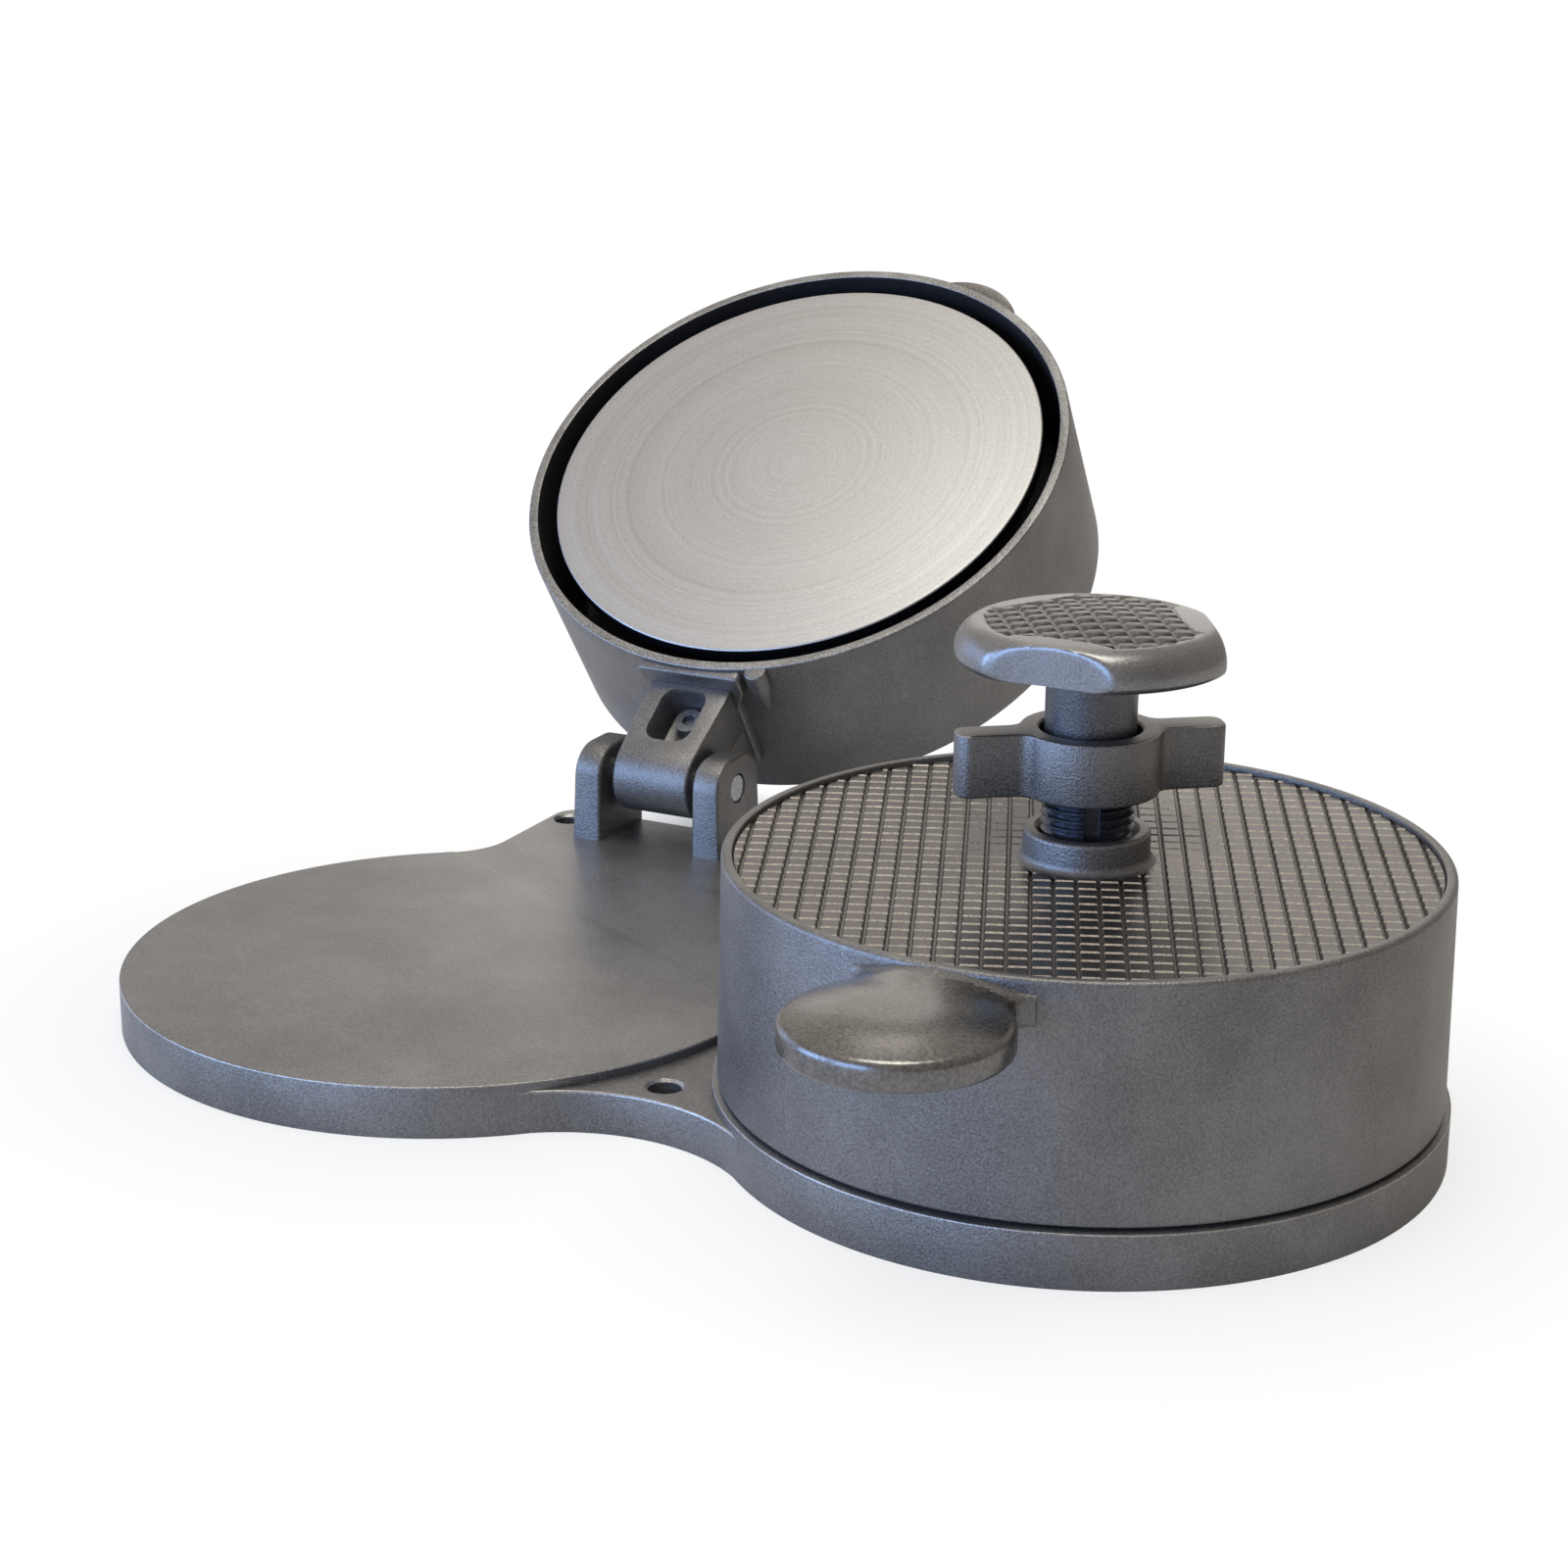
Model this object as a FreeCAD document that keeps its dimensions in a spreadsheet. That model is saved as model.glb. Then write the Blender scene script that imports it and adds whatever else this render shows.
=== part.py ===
"""Twin hand press for round patties: two hinged cups side by side on one base.

X runs from the left press to the right press, Y from the grip tabs to the hinges and
Z up. The origin is on the underside, midway between the two disc axes. The pieces of one
press are modelled closed, about that press's own disc axis. The Placement of each piece
moves it to its press and turns it about the hinge to that press's opening angle.
"""
import FreeCAD, Part
import math
import os
import re
import Sketcher

# Driving sizes in millimetres and degrees
SIZES = {
    # Base casting
    "disc_radius": 59.9,
    "disc_thick": 9.1,
    "disc_edge": 0.5,
    "web_drop": 1.6,
    "waist_radius": 31.2,
    "front_hole_inset": 6.0,
    "mount_hole_radius": 2.8,
    "countersink": 0.5,
    "pad_half_width": 27.5,
    "pad_overhang": 7.7,
    "pad_corner": 5.0,
    "pad_blend": 13.0,
    "pad_hole_side": 4.3,
    "pad_hole_rear": 7.0,
    # Hinge
    "hinge_reach": 18.4,
    "hinge_rise": 12.5,
    "pin_radius": 3.0,
    "pin_fit": 0.05,
    "pin_edge": 0.4,
    "barrel_radius": 7.4,
    "arm_half_width": 8.4,
    "arm_side_gap": 2.0,
    "ear_thick": 5.6,
    "ear_half_width": 8.6,
    "ear_above_pin": 6.4,
    "ear_corner": 5.8,
    # Cup casting
    "rim_gap": 0.6,
    "disc_ledge": 0.9,
    "cup_side_gap": 1.2,
    "cup_draft": 0.6,
    "cup_wall": 2.1,
    "cup_depth": 33.3,
    "crown_thick": 3.85,
    "lip_width": 1.8,
    "lip_height": 0.75,
    "rim_chamfer": 0.6,
    "corner_ease": 2.0,
    "boss_radius": 10.2,
    "boss_height": 5.15,
    "boss_chamfer": 1.0,
    # Grip tab on the cup
    "tab_radius": 17.0,
    "tab_reach": 14.0,
    "tab_blend": 3.0,
    "tab_drop": 2.6,
    "tab_thick": 4.7,
    "tab_dome": 1.8,
    "tab_edge": 1.2,
    # Seat of the hinge arm on the cup
    "seat_proud": 1.2,
    "seat_half_width": 11.5,
    "seat_bottom": 0.8,
    "seat_top": 28.0,
    "seat_gap": 0.05,
    "lug_length": 11.3,
    "lug_height": 10.4,
    # Hinge arm and its screw
    "arm_above_pin": 3.9,
    "pocket_half_width": 4.4,
    "pocket_start": 1.5,
    "pocket_length": 12.4,
    "pocket_depth": 7.1,
    "pocket_corner": 2.5,
    "screw_inset": 4.9,
    "screw_head_radius": 2.95,
    "screw_head_height": 2.0,
    "screw_shank_radius": 2.0,
    "screw_length": 12.0,
    "screw_fit": 0.15,
    "screw_socket": 1.25,
    "screw_socket_depth": 1.2,
    # Press plate and lock nut
    "plate_side_gap": 3.8,
    "plate_thick": 3.2,
    "plate_edge": 0.6,
    "hub_radius": 13.0,
    "hub_height": 7.0,
    "hub_floor": 2.4,
    "lock_nut_flats": 21.6,
    "lock_nut_height": 4.0,
    # Stem
    "thread_radius": 7.5,
    "thread_fit": 0.06,
    "thread_in_nut": 7.1,
    "thread_chamfer": 0.8,
    "neck_step": 0.2,
    "neck_length": 14.1,
    "key_width": 2.6,
    "key_depth": 0.9,
    "key_angle": -63.0,
    # Wing nut
    "nut_radius": 11.3,
    "nut_height": 10.3,
    "nut_mouth_step": 0.64,
    "nut_mouth_depth": 3.0,
    "wing_span": 21.9,
    "wing_half_thick": 3.0,
    "wing_corner": 2.2,
    "wing_blend": 2.6,
    "wing_angle": 36.6,
    # Knob
    "knob_radius": 21.9,
    "knob_side": 6.3,
    "knob_crown": 1.1,
    "knob_shoulder": 4.2,
    "knob_foot_round": 1.0,
    "knob_socket": 4.0,
    "scallop_radius": 60.0,
    "scallop_depth": 3.4,
    "scallop_angle": -90.0,
    # Pose and setting of each press
    "left_open_angle": 145.0,
    "right_open_angle": 0.0,
    "left_plate_gap": 1.2,
    "right_plate_gap": 0.3,
    "left_nut_gap": 0.3,
    "right_nut_gap": 6.3,
}

# Sizes that follow from the driving ones, as formulas of the same sheet
DERIVED = {
    "cup_mouth_radius": "disc_radius - disc_ledge",
    "half_spacing": "cup_mouth_radius + cup_side_gap / 2",
    "web_thick": "disc_thick - web_drop",
    "waist_centre": "sqrt((disc_radius + waist_radius)^2 - half_spacing^2)",
    "hinge_y": "disc_radius + hinge_reach",
    "hinge_z": "disc_thick + hinge_rise",
    "pad_rear": "hinge_y + pad_overhang",
    "blend_y": "sqrt((disc_radius + pad_blend)^2 - (pad_half_width + pad_blend)^2)",
    "pad_hole_x": "pad_half_width - pad_hole_side",
    "pad_hole_y": "pad_rear - pad_hole_rear",
    "front_hole_y": "waist_centre - waist_radius - front_hole_inset",
    "ear_inner": "arm_half_width + arm_side_gap",
    "ear_outer": "ear_inner + ear_thick",
    "ear_top": "hinge_z + ear_above_pin",
    "mouth_z": "disc_thick + rim_gap",
    "ceiling_z": "mouth_z + cup_depth",
    "face_z": "ceiling_z + crown_thick",
    "lip_z": "face_z + lip_height",
    "boss_z": "face_z + boss_height",
    "cup_bore_radius": "cup_mouth_radius - cup_wall",
    "cup_top_radius": "cup_mouth_radius - cup_draft",
    "plate_radius": "cup_bore_radius - plate_side_gap",
    "tab_y": "-(cup_mouth_radius + tab_reach)",
    "tab_low_z": "lip_z - tab_drop - tab_thick",
    "tab_square": "(cup_mouth_radius + tab_blend)^2 - (tab_radius + tab_blend)^2 + tab_y^2",
    "tab_blend_y": "tab_square / (2 * tab_y)",
    "tab_blend_x": "sqrt((cup_mouth_radius + tab_blend)^2 - tab_blend_y^2)",
    "seat_y": "cup_mouth_radius + seat_proud",
    "arm_front": "seat_y + seat_gap",
    "arm_under": "hinge_z - barrel_radius",
    "arm_top": "hinge_z + arm_above_pin",
    "lug_z": "arm_top + seat_gap",
    "pocket_roof": "arm_under + pocket_depth",
    "screw_y": "arm_front + screw_inset",
    "stem_bore_radius": "thread_radius + thread_fit",
    "neck_radius": "thread_radius - neck_step",
    "nut_mouth_radius": "stem_bore_radius + nut_mouth_step",
    "left_plate_z": "disc_thick + left_plate_gap",
    "right_plate_z": "disc_thick + right_plate_gap",
    "left_nut_z": "boss_z + left_nut_gap",
    "right_nut_z": "boss_z + right_nut_gap",
    "thread_top": "right_nut_z - right_plate_z + thread_in_nut",
    "knob_under": "thread_top + neck_length",
    "knob_top": "knob_under + knob_side + knob_crown",
}

ALIASES = set(SIZES) | set(DERIVED)
WORD = re.compile(r"[a-z][a-z0-9_]*")
SIDES = {"left": -1, "right": 1}


def formula(text):
    """Write each alias in a formula as a reference to the sheet of sizes."""
    return WORD.sub(lambda word: "Sizes." + word.group(0) if word.group(0) in ALIASES else word.group(0), text)


def make_sheet(doc):
    """Fill the sheet: one row for each driving size and each size derived from them."""
    sheet = doc.addObject("Spreadsheet::Sheet", "Sizes")
    rows = [(name, str(value)) for name, value in SIZES.items()]
    rows += [(name, "=" + text) for name, text in DERIVED.items()]
    for row, (name, content) in enumerate(rows, start=1):
        sheet.set(f"A{row}", name)
        sheet.set(f"B{row}", content)
        sheet.setAlias(f"B{row}", name)
    doc.recompute()
    return sheet


doc = FreeCAD.newDocument("BurgerPress")
sheet = make_sheet(doc)


def size(name):
    """Read one size from the sheet as a number."""
    return float(sheet.get(name))


def bind(target, path, text):
    """Drive a property of an object by a formula of the sheet."""
    target.setExpression(path, formula(text))


def make_body(label):
    """Add the body of one piece."""
    body = doc.addObject("PartDesign::Body", label)
    body.Label = label
    return body


def make_sketch(body, name, role="XY_Plane", height="0", across="0", turn="0"):
    """Add a sketch on an origin plane of its own body, moved off it by formulas."""
    sketch = body.newObject("Sketcher::SketchObject", name)
    plane = next(item for item in body.Origin.OriginFeatures if item.Role == role)
    sketch.AttachmentSupport = [(plane, "")]
    sketch.MapMode = "FlatFace"
    bind(sketch, "AttachmentOffset.Base.z", height)
    bind(sketch, "AttachmentOffset.Base.x", across)
    bind(sketch, "AttachmentOffset.Rotation.Angle", turn)
    return sketch


def fix_coordinate(sketch, kind, axis, item, point, text):
    """Hold one coordinate of a sketch point at a formula, or on the axis where it is zero."""
    if text == "0":
        sketch.addConstraint(Sketcher.Constraint("PointOnObject", item, point, axis))
        return
    index = sketch.addConstraint(Sketcher.Constraint(kind, -1, 1, item, point, 1.0))
    bind(sketch, f"Constraints[{index}]", text)


def fix_point(sketch, item, point, across, up):
    """Hold a sketch point at two formulas."""
    fix_coordinate(sketch, "DistanceX", -2, item, point, across)
    fix_coordinate(sketch, "DistanceY", -1, item, point, up)


def draw_polygon(sketch, corners):
    """Draw a closed outline through corners, each a pair of formulas."""
    first = sketch.GeometryCount
    count = len(corners)
    turns = [2 * math.pi * step / count for step in range(count)]
    start = [FreeCAD.Vector(math.cos(turn), math.sin(turn), 0) for turn in turns]
    for step in range(count):
        sketch.addGeometry(Part.LineSegment(start[step], start[(step + 1) % count]), False)
    for step in range(count):
        following = first + (step + 1) % count
        sketch.addConstraint(Sketcher.Constraint("Coincident", first + step, 2, following, 1))
    for step, (across, up) in enumerate(corners):
        fix_point(sketch, first + step, 1, across, up)


def draw_circle(sketch, across, up, radius):
    """Draw a circle whose centre and radius are formulas."""
    item = sketch.addGeometry(Part.Circle(FreeCAD.Vector(0.1, 0.1, 0), FreeCAD.Vector(0, 0, 1), 1.0), False)
    fix_point(sketch, item, 3, across, up)
    index = sketch.addConstraint(Sketcher.Constraint("Radius", item, 1.0))
    bind(sketch, f"Constraints[{index}]", radius)


def draw_box(sketch, left, low, right, high):
    """Draw a rectangle between two corners."""
    draw_polygon(sketch, [(left, low), (right, low), (right, high), (left, high)])


def add_pad(body, sketch, length, both_ways=False):
    """Raise a sketch by a length, or half of it each way."""
    pad = body.newObject("PartDesign::Pad", sketch.Name + "Pad")
    pad.Profile = sketch
    bind(pad, "Length", length)
    if both_ways:
        pad.Midplane = True
    body.Tip = pad
    return pad


def cut(body, kind, sketch, settings):
    """Cut with a sketch and make sure that the cut took something away."""
    doc.recompute()
    before = body.Shape.Volume
    feature = body.newObject(kind, sketch.Name + "Cut")
    feature.Profile = sketch
    settings(feature)
    body.Tip = feature
    doc.recompute()
    if not body.Shape.Volume < before - 1e-6:
        raise RuntimeError(f"{body.Label}: {sketch.Name} cuts nothing")
    return feature


def cut_pocket(body, sketch, length=None, upward=False, both_ways=False):
    """Cut a sketch down (or up) by a length, or right through where there is none."""
    def settings(pocket):
        if length is None:
            pocket.Type = "ThroughAll"
        else:
            bind(pocket, "Length", length)
        pocket.Reversed = upward
        if both_ways:
            pocket.Midplane = True
    return cut(body, "PartDesign::Pocket", sketch, settings)


def add_turned(body, sketch):
    """Turn a sketch about its own vertical axis."""
    turned = body.newObject("PartDesign::Revolution", sketch.Name + "Turn")
    turned.Profile = sketch
    turned.ReferenceAxis = (sketch, ["V_Axis"])
    turned.Angle = 360
    body.Tip = turned
    return turned


def cut_turned(body, sketch):
    """Cut a sketch turned about its own vertical axis."""
    def settings(groove):
        groove.ReferenceAxis = (sketch, ["V_Axis"])
        groove.Angle = 360
    return cut(body, "PartDesign::Groove", sketch, settings)


def find_edges(body, wanted):
    """Name the edges of a body whose curve and middle point pass a test."""
    doc.recompute()
    names = []
    for number, edge in enumerate(body.Shape.Edges, start=1):
        middle = edge.valueAt((edge.FirstParameter + edge.LastParameter) / 2)
        if wanted(edge, middle):
            names.append(f"Edge{number}")
    if not names:
        raise RuntimeError(f"{body.Label}: no edge found to ease")
    return names


def ease_edges(body, kind, wanted, text):
    """Fillet or chamfer the edges that pass a test."""
    names = find_edges(body, wanted)
    base = body.Tip
    feature = body.newObject("PartDesign::" + kind, f"{body.Label}_{kind}")
    feature.Base = (base, names)
    bind(feature, "Radius" if kind == "Fillet" else "Size", text)
    body.Tip = feature
    doc.recompute()
    return feature


def near(value, target):
    """Tell whether two lengths are the same within a hundredth."""
    return abs(value - target) < 0.01


def is_upright(edge):
    """Tell whether an edge is a straight vertical line."""
    return isinstance(edge.Curve, Part.Line) and near(abs(edge.tangentAt(edge.FirstParameter).z), 1)


def is_ring(edge, radius):
    """Tell whether an edge is a circle of a radius."""
    return isinstance(edge.Curve, Part.Circle) and near(edge.Curve.Radius, radius)


def place(body, side, local_y="0", local_z="0"):
    """Put a piece modelled about a local origin on its closed press into that press's pose."""
    sign = "-" if SIDES[side] < 0 else ""
    base = f"vector({sign}half_spacing; {local_y}; {local_z})"
    turn = f"rotation(vector(1; 0; 0); -{side}_open_angle)"
    pivot = f"vector(0; hinge_y - ({local_y}); hinge_z - ({local_z}))"
    bind(body, "Placement", f"placement({base}; {turn}; {pivot})")


def make_base():
    """Make the base casting: two discs, the web between them, rear pads and hinge ears."""
    body = make_body("base")
    web = make_sketch(body, "Web")
    draw_polygon(web, [("-half_spacing", "0"), ("0", "-waist_centre"), ("half_spacing", "0"), ("0", "waist_centre")])
    add_pad(body, web, "web_thick")
    waist = make_sketch(body, "Waist")
    draw_circle(waist, "0", "-waist_centre", "waist_radius")
    draw_circle(waist, "0", "waist_centre", "waist_radius")
    cut_pocket(body, waist, upward=True)
    for side, sign in SIDES.items():
        add_disc_and_pad(body, side.capitalize(), "-" if sign < 0 else "")
    ease_pad_corners(body)
    for side, sign in SIDES.items():
        for way, name in ((-1, "Inner"), (1, "Outer")):
            add_ear(body, side.capitalize() + name, sign, way * sign)
    round_ears(body)
    bore_base(body)
    return body


def add_disc_and_pad(body, name, sign):
    """Add one disc and the pad behind it, with the sides of the pad blended into the disc."""
    disc = make_sketch(body, name + "Disc", "XZ_Plane", across=f"{sign}half_spacing")
    draw_polygon(disc, [
        ("0", "0"),
        ("disc_radius - disc_edge", "0"),
        ("disc_radius", "disc_edge"),
        ("disc_radius", "disc_thick - disc_edge"),
        ("disc_radius - disc_edge", "disc_thick"),
        ("0", "disc_thick"),
    ])
    add_turned(body, disc)
    pad = make_sketch(body, name + "Pad", across=f"{sign}half_spacing")
    draw_box(pad, "-pad_half_width", "0", "pad_half_width", "pad_rear")
    add_pad(body, pad, "disc_thick")
    blend = make_sketch(body, name + "Blend", across=f"{sign}half_spacing")
    corner = "pad_half_width + pad_blend"
    draw_polygon(blend, [("0", "0"), (corner, "blend_y"), (f"-({corner})", "blend_y")])
    add_pad(body, blend, "disc_thick")
    relief = make_sketch(body, name + "Relief", across=f"{sign}half_spacing")
    draw_circle(relief, corner, "blend_y", "pad_blend")
    draw_circle(relief, f"-({corner})", "blend_y", "pad_blend")
    cut_pocket(body, relief, upward=True)


def ease_pad_corners(body):
    """Round the rear corners of both pads."""
    def wanted(edge, middle):
        return is_upright(edge) and near(middle.y, size("pad_rear"))
    ease_edges(body, "Fillet", wanted, "pad_corner")


def add_ear(body, name, sign, way):
    """Add one hinge ear on a pad. A negative way is the ear on the low X side of its press."""
    centre = "half_spacing" if sign > 0 else "-half_spacing"
    face = f"{centre} + ear_inner" if way > 0 else f"{centre} - ear_outer"
    ear = make_sketch(body, name + "Ear", "YZ_Plane", height=face)
    draw_box(ear, "hinge_y - ear_half_width", "disc_thick / 2", "hinge_y + ear_half_width", "ear_top")
    add_pad(body, ear, "ear_thick")


def round_ears(body):
    """Round the front and rear corners at the top of each ear."""
    sides = (size("hinge_y") - size("ear_half_width"), size("hinge_y") + size("ear_half_width"))

    def wanted(edge, middle):
        return near(middle.z, size("ear_top")) and any(near(middle.y, side) for side in sides)
    ease_edges(body, "Fillet", wanted, "ear_corner")


def bore_base(body):
    """Bore the ears for the pins and the base for its five mounting screws."""
    pins = make_sketch(body, "PinBore", "YZ_Plane")
    draw_circle(pins, "hinge_y", "hinge_z", "pin_radius + pin_fit")
    cut_pocket(body, pins, both_ways=True)
    holes = make_sketch(body, "MountHoles")
    for centre in ("-half_spacing", "half_spacing"):
        for way in ("-", "+"):
            draw_circle(holes, f"{centre} {way} pad_hole_x", "pad_hole_y", "mount_hole_radius")
    draw_circle(holes, "0", "-front_hole_y", "mount_hole_radius")
    cut_pocket(body, holes, upward=True)
    tops = (size("disc_thick"), size("web_thick"))
    ear_faces = (size("half_spacing") - size("ear_outer"), size("half_spacing") + size("ear_outer"))

    def wanted(edge, middle):
        if is_ring(edge, size("mount_hole_radius")):
            return any(near(middle.z, top) for top in tops)
        return is_ring(edge, size("pin_radius") + size("pin_fit")) and any(near(abs(middle.x), x) for x in ear_faces)
    ease_edges(body, "Chamfer", wanted, "countersink")


def make_cup(side):
    """Make one cup casting with its guide boss, grip tab and the seat of the hinge arm."""
    body = make_body(side + "_mould_cup")
    outside = make_sketch(body, "Outside", "XZ_Plane")
    draw_polygon(outside, [
        ("0", "mouth_z"),
        ("cup_mouth_radius", "mouth_z"),
        ("cup_top_radius", "lip_z"),
        ("cup_top_radius - lip_width", "lip_z"),
        ("cup_top_radius - lip_width", "face_z"),
        ("boss_radius", "face_z"),
        ("boss_radius", "boss_z"),
        ("0", "boss_z"),
    ])
    add_turned(body, outside)
    add_tab(body)
    add_arm_seat(body)
    hollow_cup(body)
    place(body, side)
    return body


def add_tab(body):
    """Add the grip tab: a domed paddle with a neck blended into the wall."""
    neck = make_sketch(body, "Neck", height="tab_low_z")
    draw_polygon(neck, [("0", "0"), ("tab_blend_x", "tab_blend_y"), ("0", "tab_y"), ("-tab_blend_x", "tab_blend_y")])
    add_pad(body, neck, "tab_thick")
    relief = make_sketch(body, "NeckRelief", height="tab_low_z")
    draw_circle(relief, "tab_blend_x", "tab_blend_y", "tab_blend")
    draw_circle(relief, "-tab_blend_x", "tab_blend_y", "tab_blend")
    cut_pocket(body, relief, "tab_thick", upward=True)
    paddle = make_sketch(body, "Paddle", "XZ_Plane", height="-tab_y")
    draw_polygon(paddle, [
        ("0", "tab_low_z"),
        ("tab_radius - tab_edge", "tab_low_z"),
        ("tab_radius", "tab_low_z + tab_edge"),
        ("tab_radius", "tab_low_z + tab_thick - tab_edge"),
        ("tab_radius - tab_edge", "tab_low_z + tab_thick"),
        ("tab_radius / 2", "tab_low_z + tab_thick + tab_dome * 0.75"),
        ("0", "tab_low_z + tab_thick + tab_dome"),
    ])
    add_turned(body, paddle)


def add_arm_seat(body):
    """Add the flat seat at the back of the wall and the lug that takes the arm's screw."""
    seat = make_sketch(body, "Seat", height="mouth_z + seat_bottom")
    draw_box(seat, "-seat_half_width", "0", "seat_half_width", "seat_y")
    add_pad(body, seat, "seat_top - seat_bottom")
    lug = make_sketch(body, "Lug", height="lug_z")
    draw_box(lug, "-arm_half_width", "0", "arm_half_width", "seat_y + lug_length")
    add_pad(body, lug, "lug_height")


def hollow_cup(body):
    """Hollow the cup, bore the boss for the stem and the lug for the arm's screw."""
    hollow = make_sketch(body, "Hollow", "XZ_Plane")
    draw_polygon(hollow, [
        ("0", "mouth_z - 1"),
        ("cup_bore_radius + rim_chamfer + 1", "mouth_z - 1"),
        ("cup_bore_radius", "mouth_z + rim_chamfer"),
        ("cup_bore_radius", "ceiling_z - corner_ease"),
        ("cup_bore_radius - corner_ease", "ceiling_z"),
        ("0", "ceiling_z"),
    ])
    cut_turned(body, hollow)
    bore = make_sketch(body, "StemBore", "XZ_Plane")
    draw_polygon(bore, [
        ("0", "ceiling_z - 1"),
        ("stem_bore_radius", "ceiling_z - 1"),
        ("stem_bore_radius", "boss_z - boss_chamfer"),
        ("stem_bore_radius + boss_chamfer", "boss_z"),
        ("0", "boss_z + 1"),
    ])
    cut_turned(body, bore)
    tapped = make_sketch(body, "TappedHole", height="lug_z")
    draw_circle(tapped, "0", "screw_y", "screw_shank_radius + pin_fit")
    cut_pocket(body, tapped, "screw_length - (lug_z - pocket_roof) + 1", upward=True)


def make_arm(side):
    """Make one hinge arm: a barrel on the pin and a block with a pocket underneath."""
    body = make_body(side + "_hinge_arm")
    block = make_sketch(body, "Block", "YZ_Plane")
    draw_box(block, "arm_front", "arm_under", "hinge_y", "arm_top")
    add_pad(body, block, "2 * arm_half_width", both_ways=True)
    barrel = make_sketch(body, "Barrel", "YZ_Plane")
    draw_circle(barrel, "hinge_y", "hinge_z", "barrel_radius")
    add_pad(body, barrel, "2 * arm_half_width", both_ways=True)
    pocket = make_sketch(body, "Pocket", height="arm_under")
    start = "arm_front + pocket_start"
    draw_box(pocket, "-pocket_half_width", start, "pocket_half_width", f"{start} + pocket_length")
    cut_pocket(body, pocket, "pocket_depth", upward=True)

    def wanted(edge, middle):
        return is_upright(edge) and near(abs(middle.x), size("pocket_half_width"))
    ease_edges(body, "Fillet", wanted, "pocket_corner")
    pin = make_sketch(body, "PinBore", "YZ_Plane")
    draw_circle(pin, "hinge_y", "hinge_z", "pin_radius + pin_fit")
    cut_pocket(body, pin, both_ways=True)
    hole = make_sketch(body, "ScrewHole", height="arm_under")
    draw_circle(hole, "0", "screw_y", "screw_shank_radius + screw_fit")
    cut_pocket(body, hole, upward=True)
    place(body, side)
    return body


def make_arm_screw(side):
    """Make the socket screw that holds the arm to the cup, about its own axis."""
    body = make_body(side + "_arm_screw")
    outline = make_sketch(body, "Outline", "XZ_Plane")
    draw_polygon(outline, [
        ("0", "-screw_head_height"),
        ("screw_head_radius", "-screw_head_height"),
        ("screw_head_radius", "0"),
        ("screw_shank_radius", "0"),
        ("screw_shank_radius", "screw_length"),
        ("0", "screw_length"),
    ])
    add_turned(body, outline)
    socket = make_sketch(body, "Socket", height="-screw_head_height")
    draw_hexagon(socket, "screw_socket")
    cut_pocket(body, socket, "screw_socket_depth", upward=True)
    place(body, side, "screw_y", "pocket_roof - seat_gap")
    return body


def draw_hexagon(sketch, apothem):
    """Draw a hexagon whose flats are at an apothem from the middle."""
    corner = f"{apothem} / cos(30 deg)"
    draw_polygon(sketch, [(f"{corner} * cos({60 * step + 30} deg)", f"{corner} * sin({60 * step + 30} deg)")
                          for step in range(6)])


def make_pin(side):
    """Make the pin through one press's ears and barrel."""
    body = make_body(side + "_hinge_pin")
    section = make_sketch(body, "Section", "YZ_Plane")
    draw_circle(section, "0", "0", "pin_radius")
    add_pad(body, section, "2 * ear_outer", both_ways=True)
    ease_edges(body, "Chamfer", lambda edge, middle: is_ring(edge, size("pin_radius")), "pin_edge")
    sign = "-" if SIDES[side] < 0 else ""
    bind(body, "Placement", f"placement(vector({sign}half_spacing; hinge_y; hinge_z); rotation(vector(1; 0; 0); 0))")
    return body


def make_plate(side):
    """Make one press plate, with the hub behind it that the stem screws into."""
    body = make_body(side + "_press_plate")
    outline = make_sketch(body, "Outline", "XZ_Plane")
    draw_polygon(outline, [
        ("0", "0"),
        ("plate_radius - plate_edge", "0"),
        ("plate_radius", "plate_edge"),
        ("plate_radius", "plate_thick"),
        ("hub_radius", "plate_thick"),
        ("hub_radius", "hub_height"),
        ("stem_bore_radius", "hub_height"),
        ("stem_bore_radius", "hub_floor"),
        ("0", "hub_floor"),
    ])
    add_turned(body, outline)
    place(body, side, local_z=side + "_plate_z")
    return body


def make_lock_nut(side):
    """Make the hexagon nut that locks the stem in the hub."""
    body = make_body(side + "_plate_lock_nut")
    hexagon = make_sketch(body, "Hexagon", height="hub_height + seat_gap")
    draw_hexagon(hexagon, "lock_nut_flats / 2")
    draw_circle(hexagon, "0", "0", "stem_bore_radius")
    add_pad(body, hexagon, "lock_nut_height")
    place(body, side, local_z=side + "_plate_z")
    return body


def make_stem(side):
    """Make one stem: threaded up to the wing nut, plain above it, with a keyway."""
    body = make_body(side + "_plunger_stem")
    outline = make_sketch(body, "Outline", "XZ_Plane")
    draw_polygon(outline, [
        ("0", "hub_floor + seat_gap"),
        ("thread_radius - thread_chamfer", "hub_floor + seat_gap"),
        ("thread_radius", "hub_floor + seat_gap + thread_chamfer"),
        ("thread_radius", "thread_top"),
        ("neck_radius", "thread_top + thread_radius - neck_radius"),
        ("neck_radius", "knob_under + knob_socket"),
        ("0", "knob_under + knob_socket"),
    ])
    add_turned(body, outline)
    keyway = make_sketch(body, "Keyway", height="hub_height + lock_nut_height", turn="key_angle")
    draw_box(keyway, "thread_radius - key_depth", "-key_width / 2", "thread_radius + 1", "key_width / 2")
    cut_pocket(body, keyway, "thread_top - hub_height - lock_nut_height", upward=True)
    place(body, side, local_z=side + "_plate_z")
    return body


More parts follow.
